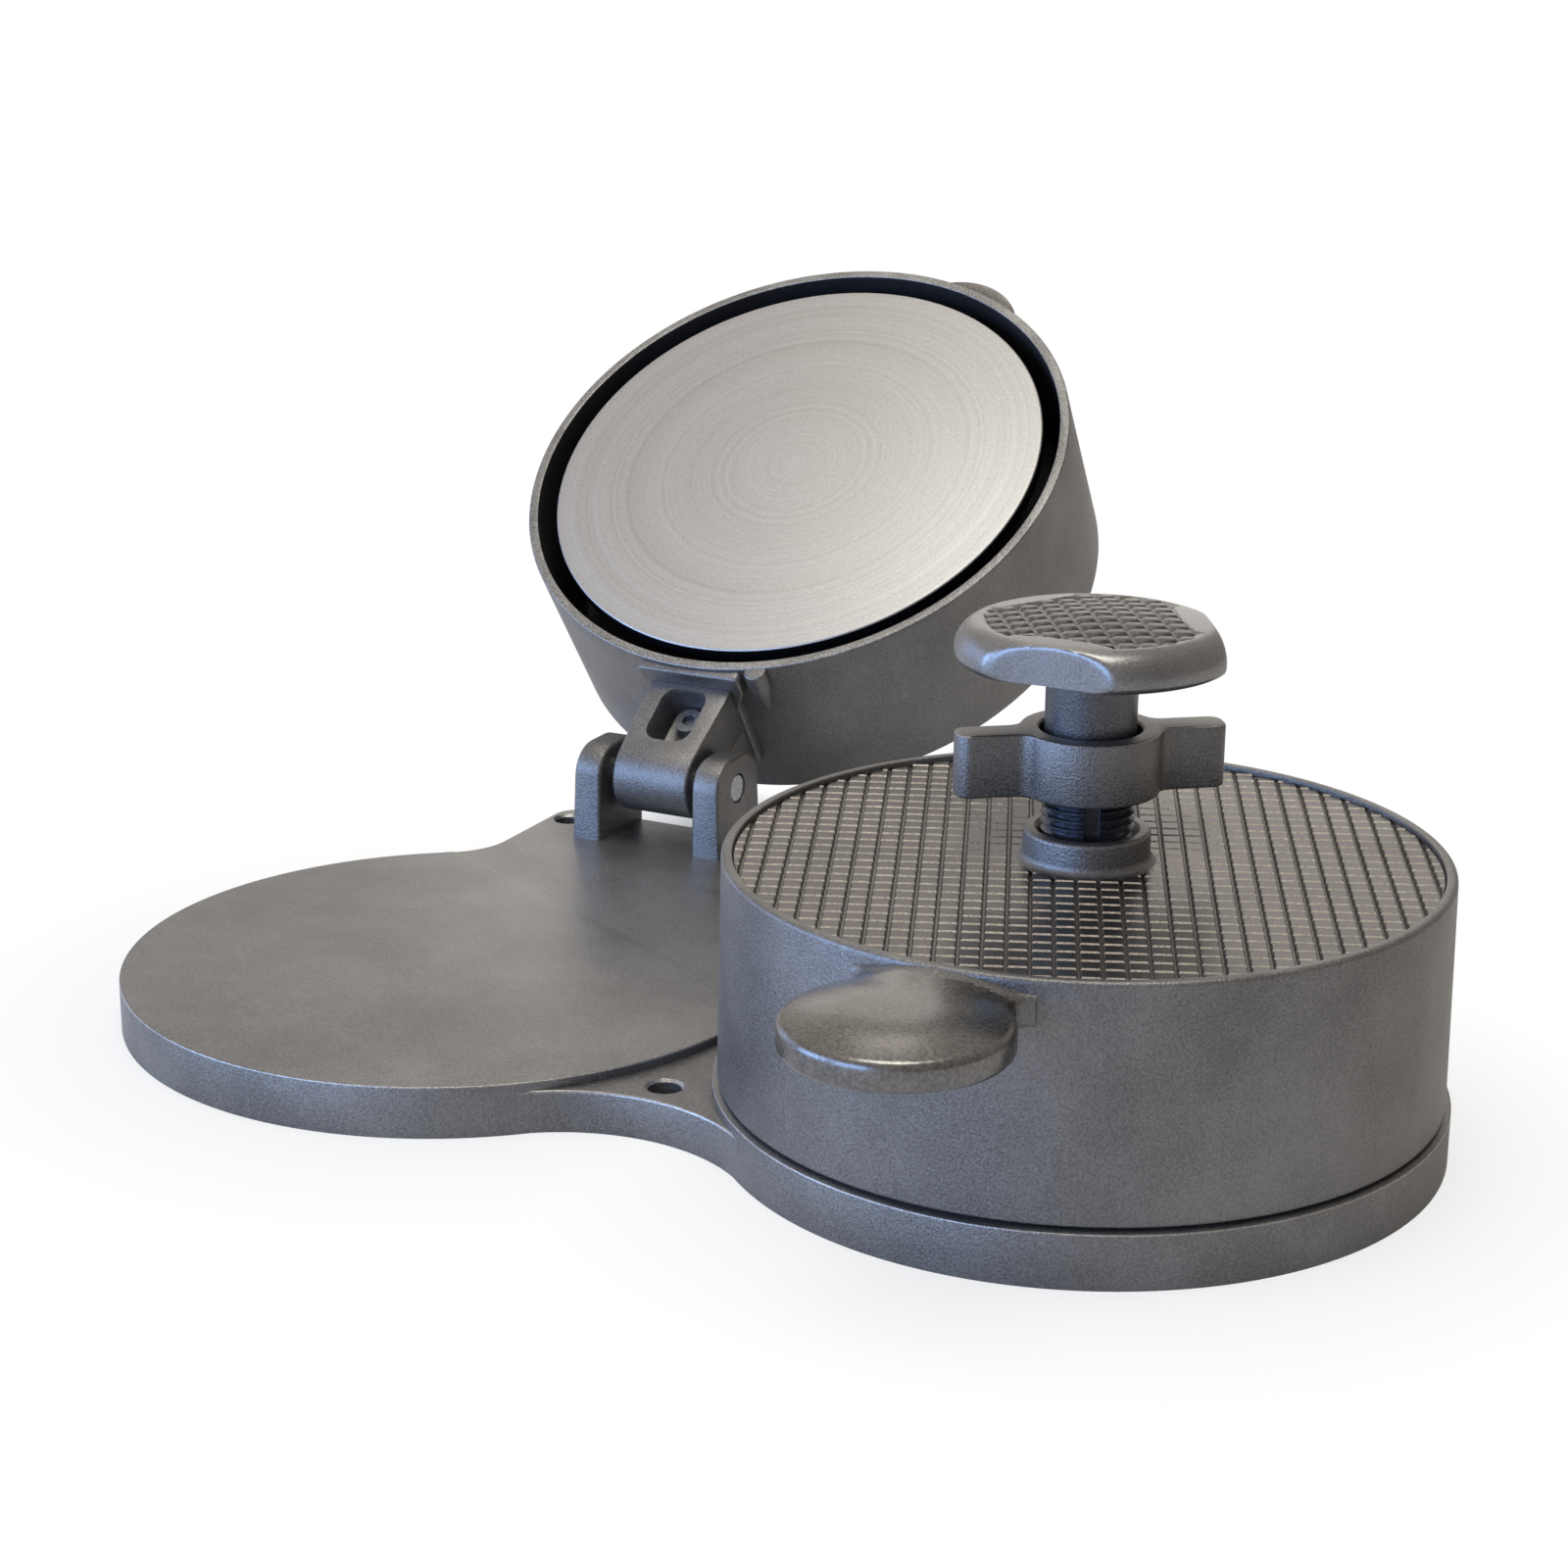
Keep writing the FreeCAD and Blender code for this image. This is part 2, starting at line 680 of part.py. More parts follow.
def make_wing_nut(side):
    """Make one wing nut: a ring with two flat wings of its full height."""
    body = make_body(side + "_wing_nut")
    ring = make_sketch(body, "Ring")
    draw_circle(ring, "0", "0", "nut_radius")
    add_pad(body, ring, "nut_height")
    wings = make_sketch(body, "Wings", turn="wing_angle")
    draw_box(wings, "-wing_span", "-wing_half_thick", "wing_span", "wing_half_thick")
    add_pad(body, wings, "nut_height")
    tip = math.hypot(size("wing_span"), size("wing_half_thick"))
    root = size("nut_radius")

    def at_radius(radius):
        return lambda edge, middle: is_upright(edge) and near(math.hypot(middle.x, middle.y), radius)
    ease_edges(body, "Fillet", at_radius(tip), "wing_corner")
    ease_edges(body, "Fillet", at_radius(root), "wing_blend")
    bore = make_sketch(body, "Bore")
    draw_circle(bore, "0", "0", "stem_bore_radius")
    cut_pocket(body, bore, upward=True)
    mouth = make_sketch(body, "Mouth", height="nut_height")
    draw_circle(mouth, "0", "0", "nut_mouth_radius")
    cut_pocket(body, mouth, "nut_mouth_depth")
    place(body, side, local_z=side + "_nut_z")
    return body


def make_knob(side):
    """Make one knob: a low crowned disc with three finger scallops and a socket below."""
    body = make_body(side + "_plunger_knob")
    outline = make_sketch(body, "Outline", "XZ_Plane")
    draw_polygon(outline, [
        ("0", "knob_under"),
        ("knob_radius", "knob_under"),
        ("knob_radius", "knob_under + knob_side"),
        ("0", "knob_top"),
    ])
    add_turned(body, outline)
    rim = size("knob_under") + size("knob_side")
    ease_edges(body, "Fillet", lambda edge, middle: near(middle.z, rim), "knob_shoulder")
    ease_edges(body, "Fillet", lambda edge, middle: near(middle.z, size("knob_under")), "knob_foot_round")
    scallop = make_sketch(body, "Scallop", height="knob_under - 1", turn="scallop_angle")
    draw_circle(scallop, "knob_radius - scallop_depth + scallop_radius", "0", "scallop_radius")
    scallop_cut = cut_pocket(body, scallop, "knob_top - knob_under + 2", upward=True)
    pattern = body.newObject("PartDesign::PolarPattern", "Scallops")
    pattern.Originals = [scallop_cut]
    pattern.Axis = (scallop, ["N_Axis"])
    pattern.Angle = 360
    pattern.Occurrences = 3
    body.Tip = pattern
    socket = make_sketch(body, "Socket", height="knob_under")
    draw_circle(socket, "0", "0", "neck_radius + pin_fit")
    cut_pocket(body, socket, "knob_socket + seat_gap", upward=True)
    place(body, side, local_z=side + "_plate_z")
    return body


def check_and_write(bodies):
    """Stop on any failed object or bad shape, then write each piece to its own file."""
    doc.recompute()
    failed = [item.Name for item in doc.Objects if {"Invalid", "Error"} & set(item.State)]
    if failed:
        raise RuntimeError("failed objects: " + ", ".join(failed))
    for body in bodies:
        if body.Shape.isNull() or not body.Shape.isValid() or len(body.Shape.Solids) != 1:
            raise RuntimeError("bad shape: " + body.Label)
    os.makedirs("parts", exist_ok=True)
    for body in bodies:
        body.Shape.exportStep(f"parts/{body.Label}.step")
        print(f"{body.Label}: {body.Shape.Volume / 1000:.2f} cm3")


def main():
    """Build the base and both presses."""
    bodies = [make_base()]
    makers = (make_cup, make_arm, make_arm_screw, make_pin, make_plate, make_lock_nut,
              make_stem, make_wing_nut, make_knob)
    for side in SIDES:
        bodies += [maker(side) for maker in makers]
    check_and_write(bodies)


main()
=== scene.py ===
"""Dresses the twin patty press: castings, plungers, hinges, finishes, studio and camera."""
import logging
import math
from collections.abc import Callable
from dataclasses import dataclass, field
from enum import Enum

import bmesh
import bpy
from mathutils import Matrix, Vector


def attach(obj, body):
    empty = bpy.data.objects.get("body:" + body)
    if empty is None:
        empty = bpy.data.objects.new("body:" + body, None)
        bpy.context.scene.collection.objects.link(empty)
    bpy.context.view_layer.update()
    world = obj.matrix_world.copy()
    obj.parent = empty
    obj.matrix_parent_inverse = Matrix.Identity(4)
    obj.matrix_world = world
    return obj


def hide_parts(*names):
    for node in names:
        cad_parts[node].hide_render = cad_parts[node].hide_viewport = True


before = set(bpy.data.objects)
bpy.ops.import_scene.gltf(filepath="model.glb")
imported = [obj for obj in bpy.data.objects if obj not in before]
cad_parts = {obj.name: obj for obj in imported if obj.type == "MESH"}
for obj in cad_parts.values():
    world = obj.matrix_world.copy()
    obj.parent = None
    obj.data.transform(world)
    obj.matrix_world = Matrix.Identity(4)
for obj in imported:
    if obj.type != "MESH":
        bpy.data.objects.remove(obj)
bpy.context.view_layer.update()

logging.basicConfig(level=logging.INFO, format="%(asctime)s %(message)s")
log = logging.getLogger("press")

MM = 0.001
Outline = list[tuple[float, float]]
Corner = tuple[float, float, float]
Point = tuple[float, float, float]


class Side(Enum):
    """The two presses on the base."""

    LEFT = "left"
    RIGHT = "right"

    @property
    def sign(self) -> int:
        """The side's direction along X."""
        return -1 if self is Side.LEFT else 1


class Way(Enum):
    """How one solid is combined with another."""

    JOIN = "UNION"
    CUT = "DIFFERENCE"
    COMMON = "INTERSECT"


class Axis(Enum):
    """The direction in which an outline is extruded."""

    X = "X"
    Z = "Z"


def arc(centre: tuple[float, float], radius: float, start: float, end: float, steps: int) -> Outline:
    """Gives points along a circular arc.

    Args:
        centre: Middle of the circle.
        radius: Its radius.
        start: First angle in degrees.
        end: Last angle in degrees, below the first one for a clockwise arc.
        steps: Number of straight steps along the arc.

    Returns:
        The points, both ends included.
    """
    turns = [math.radians(start + (end - start) * step / steps) for step in range(steps + 1)]
    return [(centre[0] + radius * math.cos(turn), centre[1] + radius * math.sin(turn)) for turn in turns]


def rounded(corners: list[Corner], steps: int = 4) -> Outline:
    """Rounds the corners of a closed outline.

    Args:
        corners: Points with the radius of each corner, zero for a sharp one.
        steps: Number of straight steps in each rounded corner.

    Returns:
        The points of the rounded outline.
    """
    points: Outline = []
    for index, (x, y, radius) in enumerate(corners):
        here = Vector((x, y))
        before = Vector(corners[index - 1][:2]) - here
        after = Vector(corners[(index + 1) % len(corners)][:2]) - here
        if radius == 0:
            points.append((x, y))
            continue
        half = before.angle(after) / 2
        middle = here + (before.normalized() + after.normalized()).normalized() * radius / math.sin(half)
        first = here + before.normalized() * radius / math.tan(half) - middle
        last = here + after.normalized() * radius / math.tan(half) - middle
        start = math.atan2(first.y, first.x)
        sweep = (math.atan2(last.y, last.x) - start + math.pi) % (2 * math.pi) - math.pi
        points += arc(tuple(middle), radius, math.degrees(start), math.degrees(start + sweep), steps)
    return points


def spin_outline(outline: Outline, segments: int = 128) -> bmesh.types.BMesh:
    """Turns a closed outline about the Z axis.

    Args:
        outline: Points (radius, height) in millimetres. The loop may touch the axis.
        segments: Number of steps round the axis.

    Returns:
        The closed mesh, in metres.
    """
    bm = bmesh.new()
    verts = [bm.verts.new((radius * MM, 0, height * MM)) for radius, height in outline]
    edges = [bm.edges.new((verts[i - 1], verts[i])) for i in range(len(verts))]
    on_axis = [edge for edge in edges if all(vert.co.x < 1e-9 for vert in edge.verts)]
    for edge in on_axis:
        bm.edges.remove(edge)
    geometry = bm.verts[:] + bm.edges[:]
    bmesh.ops.spin(bm, geom=geometry, cent=(0, 0, 0), axis=(0, 0, 1), angle=2 * math.pi,
                   steps=segments, use_merge=True)
    bmesh.ops.remove_doubles(bm, verts=bm.verts, dist=1e-7)
    bmesh.ops.recalc_face_normals(bm, faces=bm.faces)
    return bm


def extrude_outline(outline: Outline, low: float, high: float, edge: float = 0.0, segments: int = 3,
                    along: Axis = Axis.Z) -> bmesh.types.BMesh:
    """Raises an outline into a block and rounds both of its rims.

    Args:
        outline: Points in millimetres: (x, y), or (y, z) for a block along X.
        low: Start of the block along its axis.
        high: End of the block.
        edge: Radius of the rounded rims.
        segments: Steps in the rounding.
        along: Axis of the block.

    Returns:
        The closed mesh, in metres.
    """
    bm = bmesh.new()
    if along is Axis.Z:
        verts = [bm.verts.new((x * MM, y * MM, low * MM)) for x, y in outline]
        step = Vector((0, 0, (high - low) * MM))
    else:
        verts = [bm.verts.new((low * MM, y * MM, z * MM)) for y, z in outline]
        step = Vector(((high - low) * MM, 0, 0))
    face = bm.faces.new(verts)
    raised = bmesh.ops.extrude_face_region(bm, geom=[face], use_keep_orig=True)
    top = [item for item in raised["geom"] if isinstance(item, bmesh.types.BMVert)]
    bmesh.ops.translate(bm, verts=top, vec=step)
    bmesh.ops.recalc_face_normals(bm, faces=bm.faces)
    if edge:
        rims = [item for item in bm.edges if abs((item.verts[0].co - item.verts[1].co).dot(step)) < 1e-12]
        bmesh.ops.bevel(bm, geom=rims, offset=edge * MM, offset_type="OFFSET", affect="EDGES",
                        segments=segments, profile=0.5, material=-1, clamp_overlap=True)
    return bm


def stack_rings(rings: list[list[Point]]) -> bmesh.types.BMesh:
    """Makes a solid through level after level of matching points.

    Args:
        rings: The levels in millimetres, each with the same number of points.

    Returns:
        The closed mesh, in metres.
    """
    bm = bmesh.new()
    face = bm.faces.new([bm.verts.new(Vector(point) * MM) for point in rings[0]])
    bmesh.ops.extrude_face_region(bm, geom=[face], use_keep_orig=True)
    bm.faces.ensure_lookup_table()
    for ring in rings[1:]:
        if ring is not rings[1]:
            covered = face
            raised = bmesh.ops.extrude_face_region(bm, geom=[face], use_keep_orig=True)
            face = next(item for item in raised["geom"] if isinstance(item, bmesh.types.BMFace))
            bm.faces.remove(covered)
        else:
            face = next(item for item in bm.faces if item is not face and len(item.verts) == len(ring))
        for vert, point in zip(face.verts, ring):
            vert.co = Vector(point) * MM
    bmesh.ops.recalc_face_normals(bm, faces=bm.faces)
    return bm


def circle(x: float, y: float, radius: float, steps: int = 48) -> Outline:
    """Gives the points of a full circle."""
    return arc((x, y), radius, 0, 360, steps)[:-1]


def box_outline(left: float, low: float, right: float, high: float, radius: float = 0.0) -> Outline:
    """Gives a rectangle with rounded corners."""
    return rounded([(left, low, radius), (right, low, radius), (right, high, radius), (left, high, radius)])


def to_object(bm: bmesh.types.BMesh, name: str) -> bpy.types.Object:
    """Makes an object of a mesh under construction and frees the latter."""
    mesh = bpy.data.meshes.new(name)
    bm.to_mesh(mesh)
    bm.free()
    piece = bpy.data.objects.new(name, mesh)
    bpy.context.scene.collection.objects.link(piece)
    return piece


def combine(piece: bpy.types.Object, tool_mesh: bmesh.types.BMesh, way: Way) -> None:
    """Joins, cuts or intersects a piece with a second solid, which is used up.

    Args:
        piece: The object that is changed.
        tool_mesh: The second solid.
        way: What is done with it.
    """
    tool = to_object(tool_mesh, "tool")
    modifier = piece.modifiers.new("solid", "BOOLEAN")
    modifier.operation = way.value
    modifier.solver = "EXACT"
    modifier.object = tool
    graph = bpy.context.evaluated_depsgraph_get()
    result = bpy.data.meshes.new_from_object(piece.evaluated_get(graph))
    piece.modifiers.clear()
    old = piece.data
    piece.data = result
    bpy.data.meshes.remove(old)
    bpy.data.objects.remove(tool)


def shade(piece: bpy.types.Object, angle: float = 32.0) -> None:
    """Smooths a piece's shading, with edges sharper than an angle kept crisp."""
    mesh = piece.data
    mesh.polygons.foreach_set("use_smooth", [True] * len(mesh.polygons))
    mesh.set_sharp_from_angle(angle=math.radians(angle))
    mesh.update()


def paint(piece: bpy.types.Object, index: int, test: Callable[[Vector, Vector], bool]) -> None:
    """Gives some faces of a piece one of its further materials.

    Args:
        piece: The object.
        index: The material's index.
        test: Says from a face's centre and normal whether it is painted.
    """
    for polygon in piece.data.polygons:
        if test(polygon.center, polygon.normal):
            polygon.material_index = index


class Tree:
    """A node tree that is filled from left to right."""

    def __init__(self, tree: bpy.types.NodeTree) -> None:
        """Keeps the tree and the place of the next node."""
        self.tree = tree
        self.column = 0

    def add(self, kind: str, **settings: object) -> bpy.types.Node:
        """Adds a node.

        Args:
            kind: The node's type, without its ShaderNode prefix, or in full.
            settings: Attributes of the node, or values of its inputs by name.

        Returns:
            The new node.
        """
        full = kind if kind.startswith("Node") else "ShaderNode" + kind
        node = self.tree.nodes.new(full)
        node.location = (self.column * 180, 0)
        self.column += 1
        for key, value in settings.items():
            if hasattr(node, key):
                setattr(node, key, value)
            else:
                node.inputs[key.replace("_", " ")].default_value = value
        return node

    def link(self, source: bpy.types.NodeSocket, target: bpy.types.NodeSocket) -> None:
        """Joins two sockets."""
        self.tree.links.new(source, target)

    def mix(self, factor: bpy.types.NodeSocket, dark: object, light: object) -> bpy.types.NodeSocket:
        """Mixes two colours, each a socket or a tuple, and gives the result's socket."""
        node = self.add("Mix", data_type="RGBA")
        self.link(factor, node.inputs[0])
        for socket, value in ((node.inputs[6], dark), (node.inputs[7], light)):
            if isinstance(value, tuple):
                socket.default_value = (*value, 1)
            else:
                self.link(value, socket)
        return node.outputs[2]

    def map_range(self, value: bpy.types.NodeSocket, low: float, high: float, new_low: float,
                  new_high: float) -> bpy.types.NodeSocket:
        """Maps a value from one range to another and gives the result's socket."""
        node = self.add("MapRange")
        self.link(value, node.inputs["Value"])
        for name, number in (("From Min", low), ("From Max", high), ("To Min", new_low), ("To Max", new_high)):
            node.inputs[name].default_value = number
        return node.outputs["Result"]


class Effects:
    """Shader groups that several finishes share."""

    def __init__(self) -> None:
        """Builds each group once."""
        self.grain = self._grain()
        self.turning = self._turning()

    @staticmethod
    def _new(name: str, inputs: dict[str, float], outputs: list[str]) -> tuple[bpy.types.NodeTree, Tree]:
        """Starts a group with float inputs and outputs."""
        group = bpy.data.node_groups.new(name, "ShaderNodeTree")
        for label, value in inputs.items():
            socket = group.interface.new_socket(label, in_out="INPUT", socket_type="NodeSocketFloat")
            socket.default_value = value
        for label in outputs:
            group.interface.new_socket(label, in_out="OUTPUT", socket_type="NodeSocketFloat")
        return group, Tree(group)

    def _grain(self) -> bpy.types.NodeTree:
        """Makes the grain of a cast skin: fine speckle, cloudy tone and a height for bump."""
        group, tree = self._new("cast_grain", {"Scale": 2600.0, "Cloud Scale": 60.0}, ["Speckle", "Cloud", "Height"])
        start = tree.add("NodeGroupInput")
        place = tree.add("TexCoord")
        fine = tree.add("TexNoise", Detail=3.0, Roughness=0.6)
        cloud = tree.add("TexNoise", Detail=4.0, Roughness=0.55)
        pits = tree.add("TexVoronoi", feature="F1")
        for node, socket in ((fine, "Scale"), (cloud, "Cloud Scale"), (pits, "Scale")):
            tree.link(place.outputs["Object"], node.inputs["Vector"])
            tree.link(start.outputs[socket], node.inputs["Scale"])
        height = tree.add("Math", operation="MULTIPLY_ADD")
        tree.link(fine.outputs["Fac"], height.inputs[0])
        height.inputs[1].default_value = 0.7
        tree.link(pits.outputs["Distance"], height.inputs[2])
        end = tree.add("NodeGroupOutput")
        tree.link(fine.outputs["Fac"], end.inputs["Speckle"])
        tree.link(cloud.outputs["Fac"], end.inputs["Cloud"])
        tree.link(height.outputs[0], end.inputs["Height"])
        return group

    def _turning(self) -> bpy.types.NodeTree:
        """Makes the marks of a lathe tool: rings about the Z axis of the coordinates given."""
        group, tree = self._new("turning_marks", {"Rings": 900.0}, ["Rings", "Broad"])
        group.interface.new_socket("Vector", in_out="INPUT", socket_type="NodeSocketVector")
        start = tree.add("NodeGroupInput")
        split = tree.add("SeparateXYZ")
        tree.link(start.outputs["Vector"], split.inputs[0])
        flat = tree.add("CombineXYZ")
        tree.link(split.outputs["X"], flat.inputs["X"])
        tree.link(split.outputs["Y"], flat.inputs["Y"])
        radius = tree.add("VectorMath", operation="LENGTH")
        tree.link(flat.outputs[0], radius.inputs[0])
        end = tree.add("NodeGroupOutput")
        for label, share in (("Rings", 1.0), ("Broad", 0.17)):
            scaled = tree.add("Math", operation="MULTIPLY")
            tree.link(start.outputs["Rings"], scaled.inputs[0])
            scaled.inputs[1].default_value = share
            noise = tree.add("TexNoise", noise_dimensions="1D", Scale=1.0, Detail=3.0, Roughness=0.7)
            along = tree.add("Math", operation="MULTIPLY")
            tree.link(radius.outputs["Value"], along.inputs[0])
            tree.link(scaled.outputs[0], along.inputs[1])
            tree.link(along.outputs[0], noise.inputs["W"])
            tree.link(noise.outputs["Fac"], end.inputs[label])
        return group


@dataclass(frozen=True)
class CastFinish:
    """A satin, finely grained metal skin."""

    name: str
    dark: tuple[float, float, float]
    light: tuple[float, float, float]
    metallic: float
    roughness: tuple[float, float]
    bump: float
    grain: float = 2600.0

    def make(self, effects: Effects) -> bpy.types.Material:
        """Builds the material.

        Args:
            effects: The shared shader groups.

        Returns:
            The finished material.
        """
        material = bpy.data.materials.new(self.name)
        material.use_nodes = True
        tree = Tree(material.node_tree)
        shader = material.node_tree.nodes["Principled BSDF"]
        grain = tree.add("Group", node_tree=effects.grain)
        grain.inputs["Scale"].default_value = self.grain
        tone = tree.map_range(grain.outputs["Cloud"], 0.3, 0.7, 0.2, 0.8)
        speckle = tree.map_range(grain.outputs["Speckle"], 0.3, 0.7, -0.6, 0.6)
        total = tree.add("Math", operation="ADD", use_clamp=True)
        tree.link(tone, total.inputs[0])
        tree.link(speckle, total.inputs[1])
        tree.link(tree.mix(total.outputs[0], self.dark, self.light), shader.inputs["Base Color"])
        shader.inputs["Metallic"].default_value = self.metallic
        tree.link(tree.map_range(grain.outputs["Speckle"], 0.3, 0.7, *self.roughness), shader.inputs["Roughness"])
        bump = tree.add("Bump", Strength=self.bump, Distance=0.00012)
        tree.link(grain.outputs["Height"], bump.inputs["Height"])
        tree.link(bump.outputs["Normal"], shader.inputs["Normal"])
        return material


@dataclass(frozen=True)
class TurnedFinish:
    """A machined face with rings about an axis in the piece's own place."""

    name: str
    dark: tuple[float, float, float]
    light: tuple[float, float, float]
    roughness: tuple[float, float]
    bump: float
    to_axis: Matrix
    metallic: float = 1.0

    def make(self, effects: Effects) -> bpy.types.Material:
        """Builds the material.

        Args:
            effects: The shared shader groups.

        Returns:
            The finished material.
        """
        material = bpy.data.materials.new(self.name)
        material.use_nodes = True
        tree = Tree(material.node_tree)
        shader = material.node_tree.nodes["Principled BSDF"]
        place = tree.add("TexCoord")
        mapping = tree.add("Mapping", vector_type="POINT")
        mapping.inputs["Location"].default_value = self.to_axis.to_translation()
        mapping.inputs["Rotation"].default_value = self.to_axis.to_euler()
        tree.link(place.outputs["Object"], mapping.inputs["Vector"])
        marks = tree.add("Group", node_tree=effects.turning)
        tree.link(mapping.outputs["Vector"], marks.inputs["Vector"])
        grain = tree.add("Group", node_tree=effects.grain)
        rings = tree.map_range(marks.outputs["Rings"], 0.3, 0.7, -0.08, 0.08)
        broad = tree.map_range(marks.outputs["Broad"], 0.3, 0.7, 0.1, 0.16)
        total = tree.add("Math", operation="ADD")
        tree.link(rings, total.inputs[0])
        tree.link(broad, total.inputs[1])
        mottled = tree.add("Math", operation="MULTIPLY_ADD", use_clamp=True)
        tree.link(grain.outputs["Speckle"], mottled.inputs[0])
        mottled.inputs[1].default_value = 0.85
        tree.link(total.outputs[0], mottled.inputs[2])
        tree.link(tree.mix(mottled.outputs[0], self.dark, self.light), shader.inputs["Base Color"])
        shader.inputs["Metallic"].default_value = self.metallic
        tree.link(tree.map_range(marks.outputs["Broad"], 0.3, 0.7, *self.roughness), shader.inputs["Roughness"])
        bump = tree.add("Bump", Strength=self.bump, Distance=0.0001)
        tree.link(marks.outputs["Rings"], bump.inputs["Height"])
        tree.link(bump.outputs["Normal"], shader.inputs["Normal"])
        return material


@dataclass
class PressPose:
    """Where one press stands: its side and the turn of its lid about the hinge."""

    side: Side
    open_angle: float
    half_spacing: float = 59.6
    hinge_y: float = 78.3
    hinge_z: float = 21.6

    def matrix(self, local_z: float = 0.0) -> Matrix:
        """Gives the move from the closed press about its own axis to its pose.

        Args:
            local_z: Height of the piece's own origin in the closed press.

        Returns:
            The matrix, in metres.
        """
        hinge = Vector((0, self.hinge_y, self.hinge_z)) * MM
        turn = Matrix.Rotation(math.radians(-self.open_angle), 4, "X")
        across = Matrix.Translation((self.side.sign * self.half_spacing * MM, 0, 0))
        lift = Matrix.Translation((0, 0, local_z * MM))
        return across @ Matrix.Translation(hinge) @ turn @ Matrix.Translation(-hinge) @ lift


class Finishes:
    """Every material of the press, built once."""

    def __init__(self) -> None:
        """Builds the shared materials."""
        self.effects = Effects()
        skins = {
            "casting": CastFinish("casting", (0.15, 0.146, 0.141), (0.27, 0.262, 0.252), 0.85, (0.38, 0.52), 0.4),
            # A darker copy of the metal for the tops of the cup's and knob's squares: painted shade.
            "waffle": CastFinish("waffle_top_painted_shade", (0.085, 0.08, 0.075), (0.145, 0.137, 0.129), 0.9, (0.28, 0.36), 0.1),
            # A lighter copy of the casting for the flat tops of the base's discs: painted light.
            "ground": CastFinish("disc_top_painted_light", (0.215, 0.211, 0.206), (0.33, 0.324, 0.317), 0.85, (0.36, 0.46), 0.25),
            # A lighter copy of the metal for the floors between the squares: painted light that lifts the shade in the
            # grooves.
            "groove": CastFinish("waffle_groove_painted_light", (0.14, 0.132, 0.123), (0.24, 0.226, 0.212), 0.7, (0.4, 0.5), 0.3),
            "handle": CastFinish("polished_casting", (0.2, 0.197, 0.193), (0.3, 0.296, 0.29), 0.85, (0.28, 0.36), 0.12),
            "polished": CastFinish("polished_tab", (0.15, 0.144, 0.137), (0.24, 0.231, 0.22), 0.95, (0.24, 0.3), 0.09, 1500.0),
            # Near black for the faces inside the cup: painted shade.
            "inside": CastFinish("bore_painted_shade", (0.004, 0.004, 0.005), (0.012, 0.012, 0.014), 0.0, (0.55, 0.7), 0.2),
            "machined": CastFinish("machined_rim", (0.17, 0.165, 0.158), (0.42, 0.41, 0.395), 0.9, (0.38, 0.5), 0.4),
            # A lighter copy of the casting for the upward bevels of the base and the wing nuts: a painted highlight.
            "worn": CastFinish("painted_bevel_highlight", (0.28, 0.27, 0.258), (0.5, 0.485, 0.46), 0.9, (0.32, 0.42), 0.3),
            # A bright copy of the metal for the front faces of the cup's squares: a painted highlight.
            "edge": CastFinish("waffle_front_painted_highlight", (0.5, 0.455, 0.4), (0.8, 0.73, 0.64), 0.95, (0.26, 0.36), 0.2),
            # The stem thread's own dark blued steel, also put on the plate's rim as painted shade.
            "blued": CastFinish("blued_steel_and_rim_shade", (0.07, 0.076, 0.09), (0.13, 0.14, 0.165), 0.95, (0.16, 0.26), 0.1),
            "bright": CastFinish("bright_steel", (0.42, 0.42, 0.42), (0.58, 0.58, 0.57), 1.0, (0.24, 0.34), 0.1),
            "screw": CastFinish("plain_steel", (0.16, 0.17, 0.19), (0.26, 0.275, 0.3), 0.9, (0.34, 0.44), 0.25),
            "stem": CastFinish("stem_skin", (0.11, 0.112, 0.118), (0.19, 0.193, 0.2), 0.9, (0.34, 0.44), 0.3),
        }
        for name, skin in skins.items():
            setattr(self, name, skin.make(self.effects))

    def turned(self, name: str, pose: PressPose) -> bpy.types.Material:
        """Builds the machined finish of one plate, with rings about its own axis."""
        finish = TurnedFinish(name, (0.3, 0.293, 0.285), (0.66, 0.65, 0.635), (0.44, 0.52), 0.05,
                              pose.matrix().inverted())
        return finish.make(self.effects)


def settle(piece: bpy.types.Object, body: str, nodes: tuple[str, ...],
           materials: list[bpy.types.Material], move: Matrix | None = None, angle: float = 32.0) -> None:
    """Moves a finished mesh to its place, dresses it and hands it to its body.

    Args:
        piece: The object, modelled about its own origin.
        body: The body that it rides on.
        nodes: The solids that it stands for.
        materials: Its materials, by face index.
        move: The move of its mesh to its place.
        angle: The sharpest angle that is shaded smooth, in degrees.
    """
    if move is not None:
        piece.data.transform(move)
    for material in materials:
        piece.data.materials.append(material)
    shade(piece, angle)
    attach(piece, body)
    if nodes:
        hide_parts(*nodes)
    log.info("%s: %d faces on %s", piece.name, len(piece.data.polygons), body)


